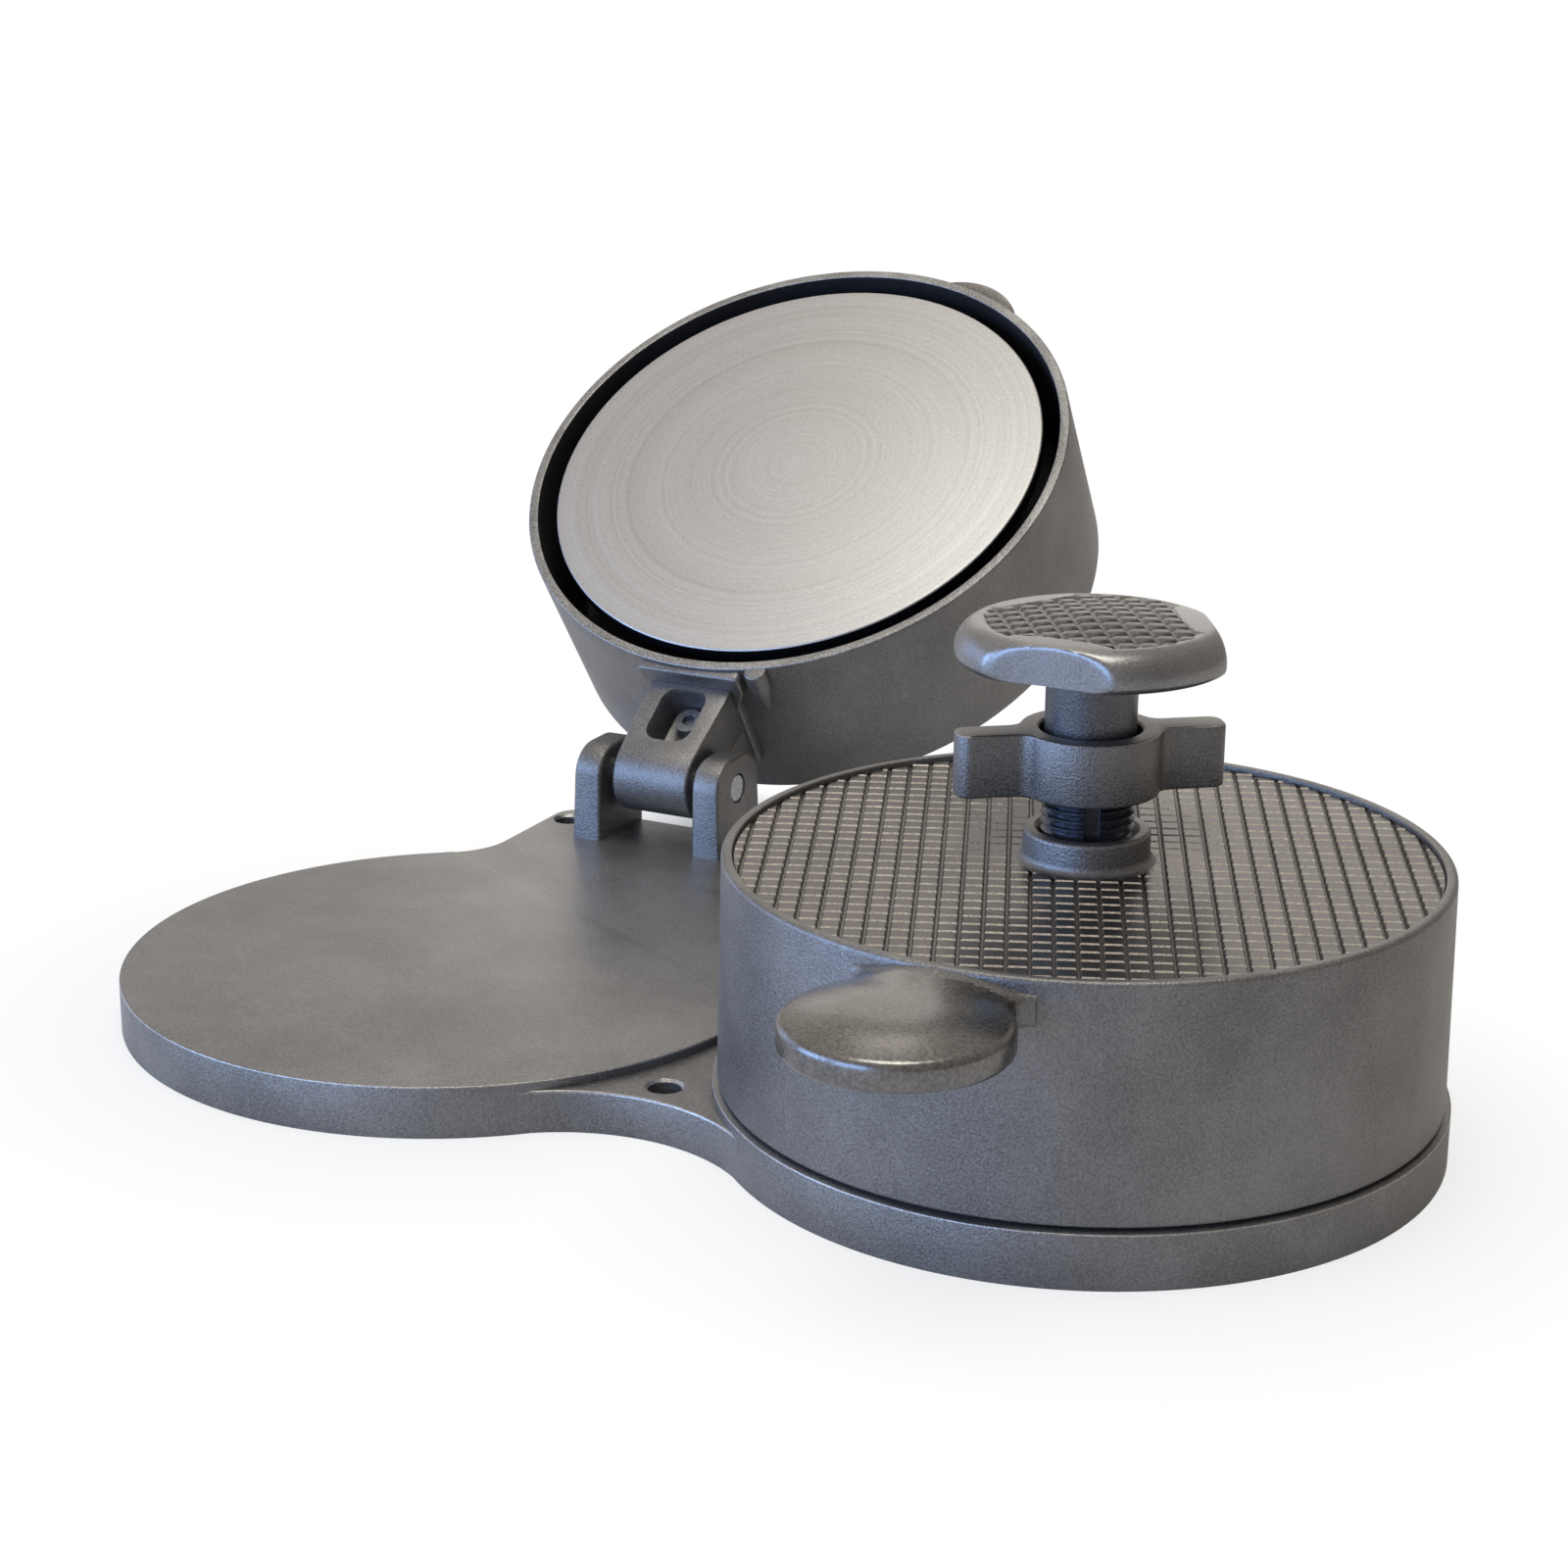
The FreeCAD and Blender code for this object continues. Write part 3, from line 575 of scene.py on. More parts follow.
@dataclass
class BaseCasting:
    """The base: two discs, the web between them, rear pads and hinge ears."""

    finishes: Finishes
    half_spacing: float = 59.6
    disc_radius: float = 59.9
    thick: float = 9.1
    web_thick: float = 7.5
    edge: float = 0.45
    waist_radius: float = 31.2
    pad_half: float = 27.5
    pad_rear: float = 86.0
    pad_corner: float = 5.0
    pad_blend: float = 13.0
    ear_inner: float = 10.4
    ear_thick: float = 5.6
    ear_half: float = 8.6
    ear_top: float = 28.0
    ear_round: float = 5.8
    ear_draft: float = 0.8
    hinge_y: float = 78.3
    hinge_z: float = 21.6
    pin_hole: float = 3.05
    screw_hole: float = 2.8
    sink: float = 0.5
    holes: list[tuple[float, float]] = field(default_factory=list)

    def __post_init__(self) -> None:
        """Works out what follows from the sizes."""
        self.waist_y = math.sqrt((self.disc_radius + self.waist_radius) ** 2 - self.half_spacing ** 2)
        corner = self.pad_half + self.pad_blend
        self.blend_x = corner
        self.blend_y = math.sqrt((self.disc_radius + self.pad_blend) ** 2 - corner ** 2)
        for side in Side:
            for way in (-1, 1):
                self.holes.append((side.sign * self.half_spacing + way * (self.pad_half - 4.3), self.pad_rear - 7.0))

    def _half_outline(self) -> Outline:
        """Gives the right press's outline, from the front cusp round to the rear cusp."""
        x = self.half_spacing
        cusp = math.degrees(math.atan2(math.sqrt(self.disc_radius ** 2 - x ** 2), x))
        blend = math.degrees(math.atan2(self.blend_y, self.blend_x))
        rear, half, corner = self.pad_rear, self.pad_half, self.pad_corner
        points = arc((x, 0), self.disc_radius, -180 + cusp, blend, 110)
        points += arc((x + self.blend_x, self.blend_y), self.pad_blend, 180 + blend, 180, 10)
        points += arc((x + half - corner, rear - corner), corner, 0, 90, 8)
        points += arc((x - half + corner, rear - corner), corner, 90, 180, 8)
        points += arc((x - self.blend_x, self.blend_y), self.pad_blend, 0, -blend, 10)
        points += arc((x, 0), self.disc_radius, 180 - blend, 180 - cusp, 24)
        return points

    def _web(self) -> bmesh.types.BMesh:
        """Makes the lower web that joins the discs."""
        x, radius = self.half_spacing, self.waist_radius
        turn = math.degrees(math.atan2(self.waist_y, x))
        inside = x * 0.6
        points = arc((0, -self.waist_y), radius, 180 - turn, turn, 28)
        points += [(inside, -6), (inside, 6)]
        points += arc((0, self.waist_y), radius, -turn, turn - 180, 28)
        points += [(-inside, 6), (-inside, -6)]
        return extrude_outline(points, 0, self.web_thick, 0.45)

    def build(self) -> None:
        """Makes the base and hands it over."""
        right = self._half_outline()
        left = [(-x, y) for x, y in reversed(right)]
        piece = to_object(extrude_outline(right[1:] + left[1:], 0, self.thick, self.edge), "base_casting")
        combine(piece, self._web(), Way.JOIN)
        for side in Side:
            for way in (-1, 1):
                self._add_ear(piece, side, way)
        for side in Side:
            x = side.sign * self.half_spacing
            pin = extrude_outline(circle(self.hinge_y, self.hinge_z, self.pin_hole), x - 20, x + 20, along=Axis.X)
            combine(piece, pin, Way.CUT)
        front = (0.0, -(self.waist_y - self.waist_radius - 6.0))
        for x, y in self.holes:
            combine(piece, self._screw_hole(x, y, self.thick), Way.CUT)
        combine(piece, self._screw_hole(*front, self.web_thick), Way.CUT)
        # Painted highlight: the base's upward bevels get a lighter copy of the casting.
        paint(piece, 1, lambda centre, normal: 0.2 < normal.z < 0.93 and centre.z < (self.thick + 0.1) * MM
              and centre.z > (self.web_thick - 0.5) * MM)
        # Painted light: the flat tops of the discs get a lighter copy of the casting.
        paint(piece, 2, lambda centre, normal: normal.z > 0.98 and abs(centre.z - self.thick * MM) < 0.1 * MM)
        settle(piece, "base", ("base",),
               [self.finishes.casting, self.finishes.worn, self.finishes.ground])

    def _add_ear(self, piece: bpy.types.Object, side: Side, way: int) -> None:
        """Joins one hinge ear to the base.

        Args:
            piece: The base.
            side: The press.
            way: Which side of the press, along X.
        """
        face = side.sign * self.half_spacing + way * self.ear_inner
        low, high = sorted((face, face + way * self.ear_thick))
        front, rear = self.hinge_y - self.ear_half, self.hinge_y + self.ear_half
        outline = rounded([(front, 5, 0), (rear, 5, 0), (rear, self.ear_top, self.ear_round),
                           (front, self.ear_top, self.ear_round)], 8)
        ear = extrude_outline(outline, low, high, 0.7, along=Axis.X)
        for vert in ear.verts:
            foot = min(1.0, max(0.0, 1 - (vert.co.z / MM - self.thick) / (self.ear_top - self.thick)))
            if abs(vert.co.x / MM - face) > self.ear_thick / 2:
                vert.co.x += way * self.ear_draft * foot * MM
            vert.co.y += math.copysign(self.ear_draft * 0.7 * foot * MM, vert.co.y - self.hinge_y * MM)
        combine(piece, ear, Way.JOIN)

    def _screw_hole(self, x: float, y: float, top: float) -> bmesh.types.BMesh:
        """Makes the cutter of one countersunk screw hole."""
        radius, sink = self.screw_hole, self.sink
        cutter = spin_outline([(0, -1), (radius, -1), (radius, top - sink), (radius + sink + 1, top + 1), (0, top + 1)], 40)
        bmesh.ops.translate(cutter, verts=cutter.verts, vec=(x * MM, y * MM, 0))
        return cutter


@dataclass
class WafflePad:
    """A field of raised squares inside a circle."""

    pitch: float
    groove: float
    rise: float
    slope: float
    radius: float
    turn: float
    domed: bool = False

    def build(self) -> bmesh.types.BMesh:
        """Makes the field about the origin, its grooves at height zero."""
        count = int(2 * self.radius / self.pitch) + 2
        bm = bmesh.new()
        bmesh.ops.create_grid(bm, x_segments=count, y_segments=count, size=count * self.pitch / 2 * MM)
        bmesh.ops.inset_individual(bm, faces=bm.faces[:], thickness=self.groove / 2 * MM)
        tops = [face for face in bm.faces if face.calc_area() > (self.pitch * 0.5 * MM) ** 2]
        steps = ((1.0, 0.72), (0.65, 0.24), (0.5, 0.04)) if self.domed else ((0.4, 0.72), (0.6, 0.28))
        for width, height in steps:
            bmesh.ops.inset_individual(bm, faces=tops, thickness=self.slope * width * MM, depth=self.rise * height * MM)
        bmesh.ops.rotate(bm, verts=bm.verts, cent=(0, 0, 0), matrix=Matrix.Rotation(math.radians(self.turn), 3, "Z"))
        for step in range(96):
            turn = 2 * math.pi * step / 96
            out = Vector((math.cos(turn), math.sin(turn), 0))
            near = {face for vert in bm.verts if vert.co.dot(out) > self.radius * MM for face in vert.link_faces}
            geometry = list({item for face in near for item in (face, *face.edges, *face.verts)})
            bmesh.ops.bisect_plane(bm, geom=geometry, plane_co=out * self.radius * MM, plane_no=out, clear_outer=True)
        bmesh.ops.recalc_face_normals(bm, faces=bm.faces)
        if sum(face.normal.z for face in bm.faces) < 0:
            bmesh.ops.reverse_faces(bm, faces=bm.faces)
        return bm


@dataclass
class MouldCup:
    """One cup casting with its waffle top, guide boss, grip tab and arm seat."""

    pose: PressPose
    finishes: Finishes
    mouth_z: float = 9.7
    mouth_radius: float = 59.0
    top_radius: float = 58.4
    bore_radius: float = 56.9
    ceiling_z: float = 43.0
    face_z: float = 46.0
    lip_z: float = 47.6
    lip_width: float = 1.8
    rise: float = 0.85
    boss_radius: float = 10.2
    boss_z: float = 52.0
    stem_hole: float = 7.56
    tab_y: float = -73.0
    tab_radius: float = 17.0
    tab_blend: float = 3.0
    tab_low: float = 40.3
    tab_side: float = 3.6
    seat_half: float = 11.5
    seat_low: float = 10.5
    seat_high: float = 37.7
    seat_y: float = 60.2
    lug_half: float = 8.4
    lug_y: float = 71.5
    lug_low: float = 25.55
    lug_high: float = 35.95

    def _shell(self) -> bmesh.types.BMesh:
        """Makes the turned part of the cup."""
        inner_lip = self.top_radius - self.lip_width
        foot, tops = 1.5, self.face_z + self.rise - 0.05
        fillet = [(x, y, 0) for x, y in arc((self.boss_radius + foot, tops + foot), foot, -90, -180, 6)]
        return spin_outline(rounded([
            (self.stem_hole, self.ceiling_z, 0),
            (self.bore_radius, self.ceiling_z, 2.0),
            (self.bore_radius, self.mouth_z, 0.3),
            (self.mouth_radius, self.mouth_z, 0.4),
            (self.top_radius, self.lip_z, 0.8),
            (inner_lip, self.lip_z, 0.3),
            (inner_lip, self.face_z - 0.1, 0.5),
            (self.boss_radius + foot, self.face_z - 0.1, 0),
            *fillet,
            (self.boss_radius, self.boss_z, 0.7),
            (self.stem_hole + 0.9, self.boss_z, 0.2),
            (self.stem_hole, self.boss_z - 0.9, 0.2),
        ], 5), 192)

    def _tab_ring(self, inset: float, height: float, lift: float) -> list[Point]:
        """Gives one level of the grip tab: its outline, drawn in by an inset.

        Args:
            inset: Distance from the outline.
            height: Height of the level.
            lift: How much higher the level lies at the cup's wall.

        Returns:
            The points of the level.
        """
        big, small = self.mouth_radius + self.tab_blend, self.tab_radius + self.tab_blend
        y = (big ** 2 - small ** 2 + self.tab_y ** 2) / (2 * self.tab_y)
        x = math.sqrt(big ** 2 - y ** 2)
        blend, root = self.tab_blend + inset, self.mouth_radius - 1.1
        reach = min(1.0, (big ** 2 + blend ** 2 - root ** 2) / (2 * big * blend))
        to_wall = 180 - math.degrees(math.atan2(-y, x)) + math.degrees(math.acos(reach))
        to_paddle = 180 + math.degrees(math.atan2(y - self.tab_y, x))
        flank = arc((x, y), blend, to_wall, to_paddle, 12)
        if reach == 1.0:
            wall = Vector(flank[0]).normalized() * root
            flank[0:1] = [(wall.x, wall.y), flank[0]]
        else:
            flank[0:1] = [flank[0], flank[0]]
            flank[1] = (flank[0][0] * 0.5 + flank[2][0] * 0.5, flank[0][1] * 0.5 + flank[2][1] * 0.5)
        tip = arc((0, self.tab_y), self.tab_radius - inset, to_paddle - 180, -to_paddle, 56)[1:-1]
        edge = math.degrees(math.atan2(-flank[0][1], flank[0][0]))
        wall_line = arc((0, 0), root, edge - 180, -edge, 14)[1:-1]
        outline = wall_line + flank + tip + [(-px, py) for px, py in reversed(flank)]
        points = []
        for px, py in outline:
            near = min(1.0, max(0.0, (py + 66) / 9))
            points.append((px, py, height + lift * near * near * (3 - 2 * near)))
        return points

    def _tab(self) -> bmesh.types.BMesh:
        """Makes the domed grip tab with its neck."""
        low, side = self.tab_low, self.tab_low + self.tab_side
        edge, dome, deep = 1.5, 1.7, 12.0
        rings = [self._tab_ring(4.0, low - 0.05, 0), self._tab_ring(1.0, low, 0), self._tab_ring(0.45, low + 0.15, 0),
                 self._tab_ring(0.1, low + 0.55, 0), self._tab_ring(0, low + 1.0, 0)]
        for step in range(6):
            turn = math.pi / 2 * step / 5 * 0.9
            rings.append(self._tab_ring(edge * (1 - math.cos(turn)), side - 0.3 + edge * math.sin(turn), 0.4))
        start = edge * (1 - math.cos(math.pi * 0.45))
        base = side - 0.3 + edge * math.sin(math.pi * 0.45)
        for step in range(1, 10):
            share = step / 9
            rings.append(self._tab_ring(start + (deep - start) * share, base + dome * (1 - (1 - share) ** 2), 0.5))
        return stack_rings(rings)

    def _seat(self) -> bmesh.types.BMesh:
        """Makes the arm's seat: a collar under the mouth that narrows to a plate."""
        half, low, high, waist = self.seat_half, self.seat_low, self.seat_high, 9.3
        outline = rounded([(half, low, 1.2), (half, 15.0, 2.5), (waist, 19.5, 3.0), (waist, high, 1.5),
                           (-waist, high, 1.5), (-waist, 19.5, 3.0), (-half, 15.0, 2.5), (-half, low, 1.2)])
        seat = extrude_outline(outline, -self.seat_y, -57.3, 0.6)
        bmesh.ops.rotate(seat, verts=seat.verts, cent=(0, 0, 0), matrix=Matrix.Rotation(math.radians(90), 3, "X"))
        return seat

    def _gusset(self) -> bmesh.types.BMesh:
        """Makes the small cast lump beside the seat."""
        lump = spin_outline(rounded([(0, 9.9, 0), (2.3, 9.9, 0.4), (2.3, 14.5, 1.5), (0.9, 20.5, 0.4), (0, 21.0, 0)]), 24)
        bmesh.ops.translate(lump, verts=lump.verts, vec=Vector((14.6, 57.6, 0)) * MM)
        return lump

    def _is_rim(self, centre: Vector, normal: Vector) -> bool:
        """Tells whether a face of the closed press is part of the machined mouth rim."""
        return centre.z < (self.mouth_z + 0.2) * MM and normal.z < -0.3 and centre.xy.length < self.mouth_radius * MM

    def _is_inside(self, centre: Vector, normal: Vector) -> bool:
        """Tells whether a face of the closed press is inside the cup."""
        return centre.xy.length < (self.bore_radius + 0.05) * MM and centre.z < (self.ceiling_z + 0.1) * MM

    def build(self) -> None:
        """Makes the cup casting and its waffle field."""
        side = self.pose.side.value
        move = self.pose.matrix()
        piece = to_object(self._shell(), side + "_cup_casting")
        combine(piece, self._seat(), Way.JOIN)
        lug = extrude_outline(box_outline(-self.lug_half, 57.6, self.lug_half, self.lug_y, 1.5),
                              self.lug_low, self.lug_high, 1.0)
        combine(piece, lug, Way.JOIN)
        combine(piece, self._gusset(), Way.JOIN)
        combine(piece, self._tab(), Way.JOIN)
        paint(piece, 1, self._is_rim)
        # Painted shade: the faces inside the cup get near black.
        paint(piece, 2, self._is_inside)
        paint(piece, 3, self._is_tab)
        finishes = self.finishes
        settle(piece, side + "_lid", (side + "_mould_cup",),
               [finishes.casting, finishes.machined, finishes.inside, finishes.polished], move)
        pad = WafflePad(3.52, 0.5, self.rise, 0.42, self.top_radius - self.lip_width - 0.3, 21.9)
        waffle = pad.build()
        bmesh.ops.translate(waffle, verts=waffle.verts, vec=(0, 0, self.face_z * MM))
        top = to_object(waffle, side + "_cup_waffle")
        # Painted shade and light: the tops keep the darker copy of the metal, the grooves get a lighter copy.
        paint(top, 1, lambda centre, normal: centre.z < (self.face_z + 0.5) * MM)
        # Painted highlight: faces turned to the front get a bright copy of the metal.
        front = Matrix.Rotation(math.radians(pad.turn), 3, "Z") @ Vector((0, -1, 0))
        paint(top, 2, lambda centre, normal: centre.z > (self.face_z + 0.2) * MM and normal.dot(front) > 0.2)
        settle(top, side + "_lid", (), [finishes.waffle, finishes.groove, finishes.edge], move, 20.0)

    def _is_tab(self, centre: Vector, normal: Vector) -> bool:
        """Tells whether a face of the closed press is part of the grip tab."""
        return centre.y < 0 and centre.xy.length > (self.mouth_radius + 1.5) * MM


@dataclass
class HingeArm:
    """One hinge arm with its pocket and the hole for the screw in it."""

    pose: PressPose
    finishes: Finishes
    half: float = 8.4
    front: float = 60.25
    under: float = 14.2
    top: float = 25.5
    hinge_y: float = 78.3
    hinge_z: float = 21.6
    barrel: float = 7.4
    pin_hole: float = 3.05
    pocket_half: float = 4.4
    pocket_start: float = 61.75
    pocket_end: float = 74.15
    pocket_depth: float = 7.1
    pocket_corner: float = 2.5
    screw_y: float = 65.15
    flare: float = 0.1

    def build(self) -> None:
        """Makes the arm."""
        side = self.pose.side.value
        top_turn = 180 - math.degrees(math.asin((self.top - self.hinge_z) / self.barrel))
        outline = [(self.front, self.under)]
        outline += arc((self.hinge_y, self.hinge_z), self.barrel, -90, top_turn, 40)
        outline += [(self.front, self.top)]
        bm = extrude_outline(outline, -self.half, self.half, 0.6, along=Axis.X)
        for vert in bm.verts:
            near = min(1.0, max(0.0, (self.hinge_y - 6 - vert.co.y / MM) / 12))
            vert.co.x *= 1 + self.flare * near
        piece = to_object(bm, side + "_arm_casting")
        combine(piece, self._pocket(), Way.CUT)
        pin = extrude_outline(circle(self.hinge_y, self.hinge_z, self.pin_hole), -12, 12, along=Axis.X)
        combine(piece, pin, Way.CUT)
        combine(piece, extrude_outline(circle(0, self.screw_y, 2.15, 32), 15, 40), Way.CUT)
        settle(piece, side + "_lid", (side + "_hinge_arm",), [self.finishes.casting],
               self.pose.matrix())

    def _pocket(self) -> bmesh.types.BMesh:
        """Makes the drafted cutter of the pocket, wider at its mouth and with a rounded floor."""
        levels = ((-4.0, 1.6), (0.0, 0.55), (0.5, 0.3), (2.0, 0.1), (self.pocket_depth - 1.0, -0.1),
                  (self.pocket_depth - 0.3, -0.35), (self.pocket_depth, -1.0))
        rings = []
        for height, grow in levels:
            outline = box_outline(-self.pocket_half - grow, self.pocket_start - grow, self.pocket_half + grow,
                                  self.pocket_end + grow, self.pocket_corner + grow)
            rings.append([(x, y, self.under + height) for x, y in outline])
        return stack_rings(rings)


@dataclass
class Plunger:
    """One plunger: plate, threaded stem and knob, with room for the lock nut below the thread."""

    pose: PressPose
    finishes: Finishes
    plate_z: float
    plate_radius: float = 53.1
    plate_thick: float = 3.2
    hub_radius: float = 13.0
    hub_height: float = 7.0
    hub_floor: float = 2.4
    bore: float = 7.56
    lock_height: float = 4.0
    thread_radius: float = 7.5
    thread_top: float = 55.6
    thread_pitch: float = 1.4
    neck_radius: float = 7.3
    knob_under: float = 69.7
    knob_radius: float = 21.9
    knob_side: float = 6.3
    knob_crown: float = 1.1
    knob_border: float = 4.6
    bump_rise: float = 0.6
    scallops: tuple[Corner, ...] = ((-90, 3.5, 60), (30, 3.6, 60), (150, 3.4, 60))

    def build(self) -> None:
        """Makes the plunger's pieces."""
        side = self.pose.side.value
        self.body = side + "_plunger"
        self.move = self.pose.matrix(self.plate_z)
        self._plate(side)
        self._stem(side)
        self._knob(side)

    def _plate(self, side: str) -> None:
        """Makes the press plate with its hub."""
        profile = rounded([
            (0, 0, 0),
            (self.plate_radius, 0, 0.5),
            (self.plate_radius, self.plate_thick, 0.4),
            (self.hub_radius, self.plate_thick, 0.8),
            (self.hub_radius, self.hub_height, 0.4),
            (self.bore, self.hub_height, 0),
            (self.bore, self.hub_floor, 0),
            (0, self.hub_floor, 0),
        ])
        piece = to_object(spin_outline(profile, 160), side + "_plate_turned")
        # Painted shade: the plate's rim and outer top edge get the dark blued steel.
        paint(piece, 1, lambda centre, normal: normal.z > -0.4 and centre.xy.length > (self.plate_radius - 0.6) * MM)
        settle(piece, self.body, (side + "_press_plate",),
               [self.finishes.turned(side + "_plate_face", self.pose), self.finishes.blued], self.move)

    def _stem(self, side: str) -> None:
        """Makes the stem: a plain neck and foot, and the thread between."""
        low = self.hub_height + self.lock_height
        root = self.thread_radius - 0.7
        core = rounded([(0, self.hub_floor + 0.1, 0), (root, self.hub_floor + 0.1, 0.3), (root, self.thread_top - 0.2, 0),
                        (self.neck_radius, self.thread_top + 0.4, 0.1), (self.neck_radius, self.knob_under + 3.9, 0),
                        (0, self.knob_under + 3.9, 0)])
        piece = to_object(spin_outline(core, 96), side + "_stem_turned")
        combine(piece, self._thread(root, low, self.thread_top), Way.JOIN)
        key = extrude_outline(box_outline(self.thread_radius - 0.9, -1.3, self.thread_radius + 1, 1.3, 0.3),
                              low, self.thread_top - 0.5)
        bmesh.ops.rotate(key, verts=key.verts, cent=(0, 0, 0), matrix=Matrix.Rotation(math.radians(-63), 3, "Z"))
        combine(piece, key, Way.CUT)
        paint(piece, 1, lambda centre, normal: centre.z > (self.thread_top + 0.1) * MM)
        settle(piece, self.body, (side + "_plunger_stem",),
               [self.finishes.blued, self.finishes.stem], self.move)

    def _thread(self, root: float, low: float, high: float) -> bmesh.types.BMesh:
        """Makes the thread as a closed solid about the stem's core.

        Args:
            root: Radius at the thread's root.
            low: Lower end.
            high: Upper end.

        Returns:
            The mesh.
        """
        pitch, crest, steps = self.thread_pitch, self.thread_radius, 40
        turns = int((high - low) / pitch) + 3
        bm = bmesh.new()
        profile = [(root, 0), (crest - 0.08, pitch * 0.36), (crest, pitch * 0.42), (crest, pitch * 0.58),
                   (crest - 0.08, pitch * 0.64), (root, pitch)]
        verts = [bm.verts.new((radius * MM, 0, (low - pitch + height) * MM)) for radius, height in profile]
        edges = [bm.edges.new((verts[i], verts[i + 1])) for i in range(len(verts) - 1)]
        bmesh.ops.spin(bm, geom=verts + edges, cent=(0, 0, 0), axis=(0, 0, 1), angle=2 * math.pi * turns,
                       steps=steps * turns, dvec=(0, 0, pitch / steps * MM))
        bmesh.ops.remove_doubles(bm, verts=bm.verts, dist=2e-6)
        for height, facing in ((low, -1), (high, 1)):
            geometry = bm.verts[:] + bm.edges[:] + bm.faces[:]
            bmesh.ops.bisect_plane(bm, geom=geometry, plane_co=(0, 0, height * MM), plane_no=(0, 0, facing),
                                   clear_outer=True)
        open_edges = [edge for edge in bm.edges if edge.is_boundary]
        bmesh.ops.holes_fill(bm, edges=open_edges, sides=0)
        bmesh.ops.recalc_face_normals(bm, faces=bm.faces)
        return bm

    def _knob(self, side: str) -> None:
        """Makes the knob with its scallops and its sunk field of domed bumps."""
        low, high = self.knob_under, self.knob_under + self.knob_side
        peak, slope = high + self.knob_crown, (self.knob_crown + 0.3) / self.knob_radius
        rings = [(0.35 * step, peak - slope * 0.35 * step, 0) for step in range(30, 47)]
        profile = rounded([(7.35, low + 4.0, 0), (0, low + 4.0, 0), (0, peak, 0), *rings,
                           (self.knob_radius, high - 0.3, 4.6), (self.knob_radius, low, 1.2), (7.35, low, 0.2)], 12)
        bm = spin_outline(profile, 180)
        self._scallop(bm)
        for vert in bm.verts:
            if vert.co.z > (high - 0.6) * MM:
                inside = min(1.0, max(0.0, self._within(vert.co) / 0.5))
                vert.co.z -= self.bump_rise * inside * inside * (3 - 2 * inside) * MM
        piece = to_object(bm, side + "_knob_casting")
        settle(piece, self.body, (side + "_plunger_knob",), [self.finishes.handle], self.move)
        pad = WafflePad(3.5, 0.4, self.bump_rise, 0.62, self.knob_radius - self.knob_border + 0.3, 33.0, True).build()
        for turn, depth, _ in self.scallops:
            out = Vector((math.cos(math.radians(turn)), math.sin(math.radians(turn)), 0))
            reach = (self.knob_radius - depth - self.knob_border + 0.3) * MM
            bmesh.ops.bisect_plane(pad, geom=pad.verts[:] + pad.edges[:] + pad.faces[:], plane_co=out * reach,
                                   plane_no=out, clear_outer=True)
        for vert in pad.verts:
            vert.co.z += (peak - self.bump_rise + 0.03) * MM - slope * vert.co.xy.length
        top = to_object(pad, side + "_knob_waffle")
        # Painted shade and light: the bump tops keep the darker copy of the metal, the grooves between them get a
        # lighter copy.
        paint(top, 1, lambda centre, normal: normal.z > 0.98 and self._depth(centre) > 0.5)
        settle(top, self.body, (), [self.finishes.waffle, self.finishes.groove], self.move, 50.0)

    def _depth(self, point: Vector) -> float:
        """Gives how far a point of the bump field lies below the knob's crowned top, in millimetres."""
        slope = (self.knob_crown + 0.3) / self.knob_radius
        return self.knob_under + self.knob_side + self.knob_crown - slope * point.xy.length / MM - point.z / MM

    def _within(self, point: Vector) -> float:
        """Gives how far a point of the knob's top lies inside the edge of the bump field, in millimetres."""
        inside = self.knob_radius - self.knob_border - point.xy.length / MM
        for turn, depth, curve in self.scallops:
            reach, aside, limit = self._limit(point, turn, depth, curve)
            if reach > self.knob_radius / 2:
                inside = min(inside, limit - self.knob_border - reach)
        return inside

    def _limit(self, point: Vector, turn: float, depth: float, curve: float) -> tuple[float, float, float]:
        """Gives a point's place towards and across a scallop, and how far out the scallop lets it be."""
        out = Vector((math.cos(math.radians(turn)), math.sin(math.radians(turn)), 0))
        reach, aside = point.dot(out) / MM, point.dot(Vector((-out.y, out.x, 0))) / MM
        return reach, aside, self.knob_radius - depth + curve - math.sqrt(curve ** 2 - aside ** 2)

    def _scallop(self, bm: bmesh.types.BMesh) -> None:
        """Draws the points near three places of the knob's rim in, to form finger scallops."""
        blend = 0.3
        for vert in bm.verts:
            for turn, depth, curve in self.scallops:
                reach, aside, limit = self._limit(vert.co, turn, depth, curve)
                over = (reach - limit) / blend
                if reach > self.knob_radius / 2 and over > -6:
                    out = Vector((math.cos(math.radians(turn)), math.sin(math.radians(turn)), 0))
                    vert.co -= out * blend * math.log1p(math.exp(over)) * MM


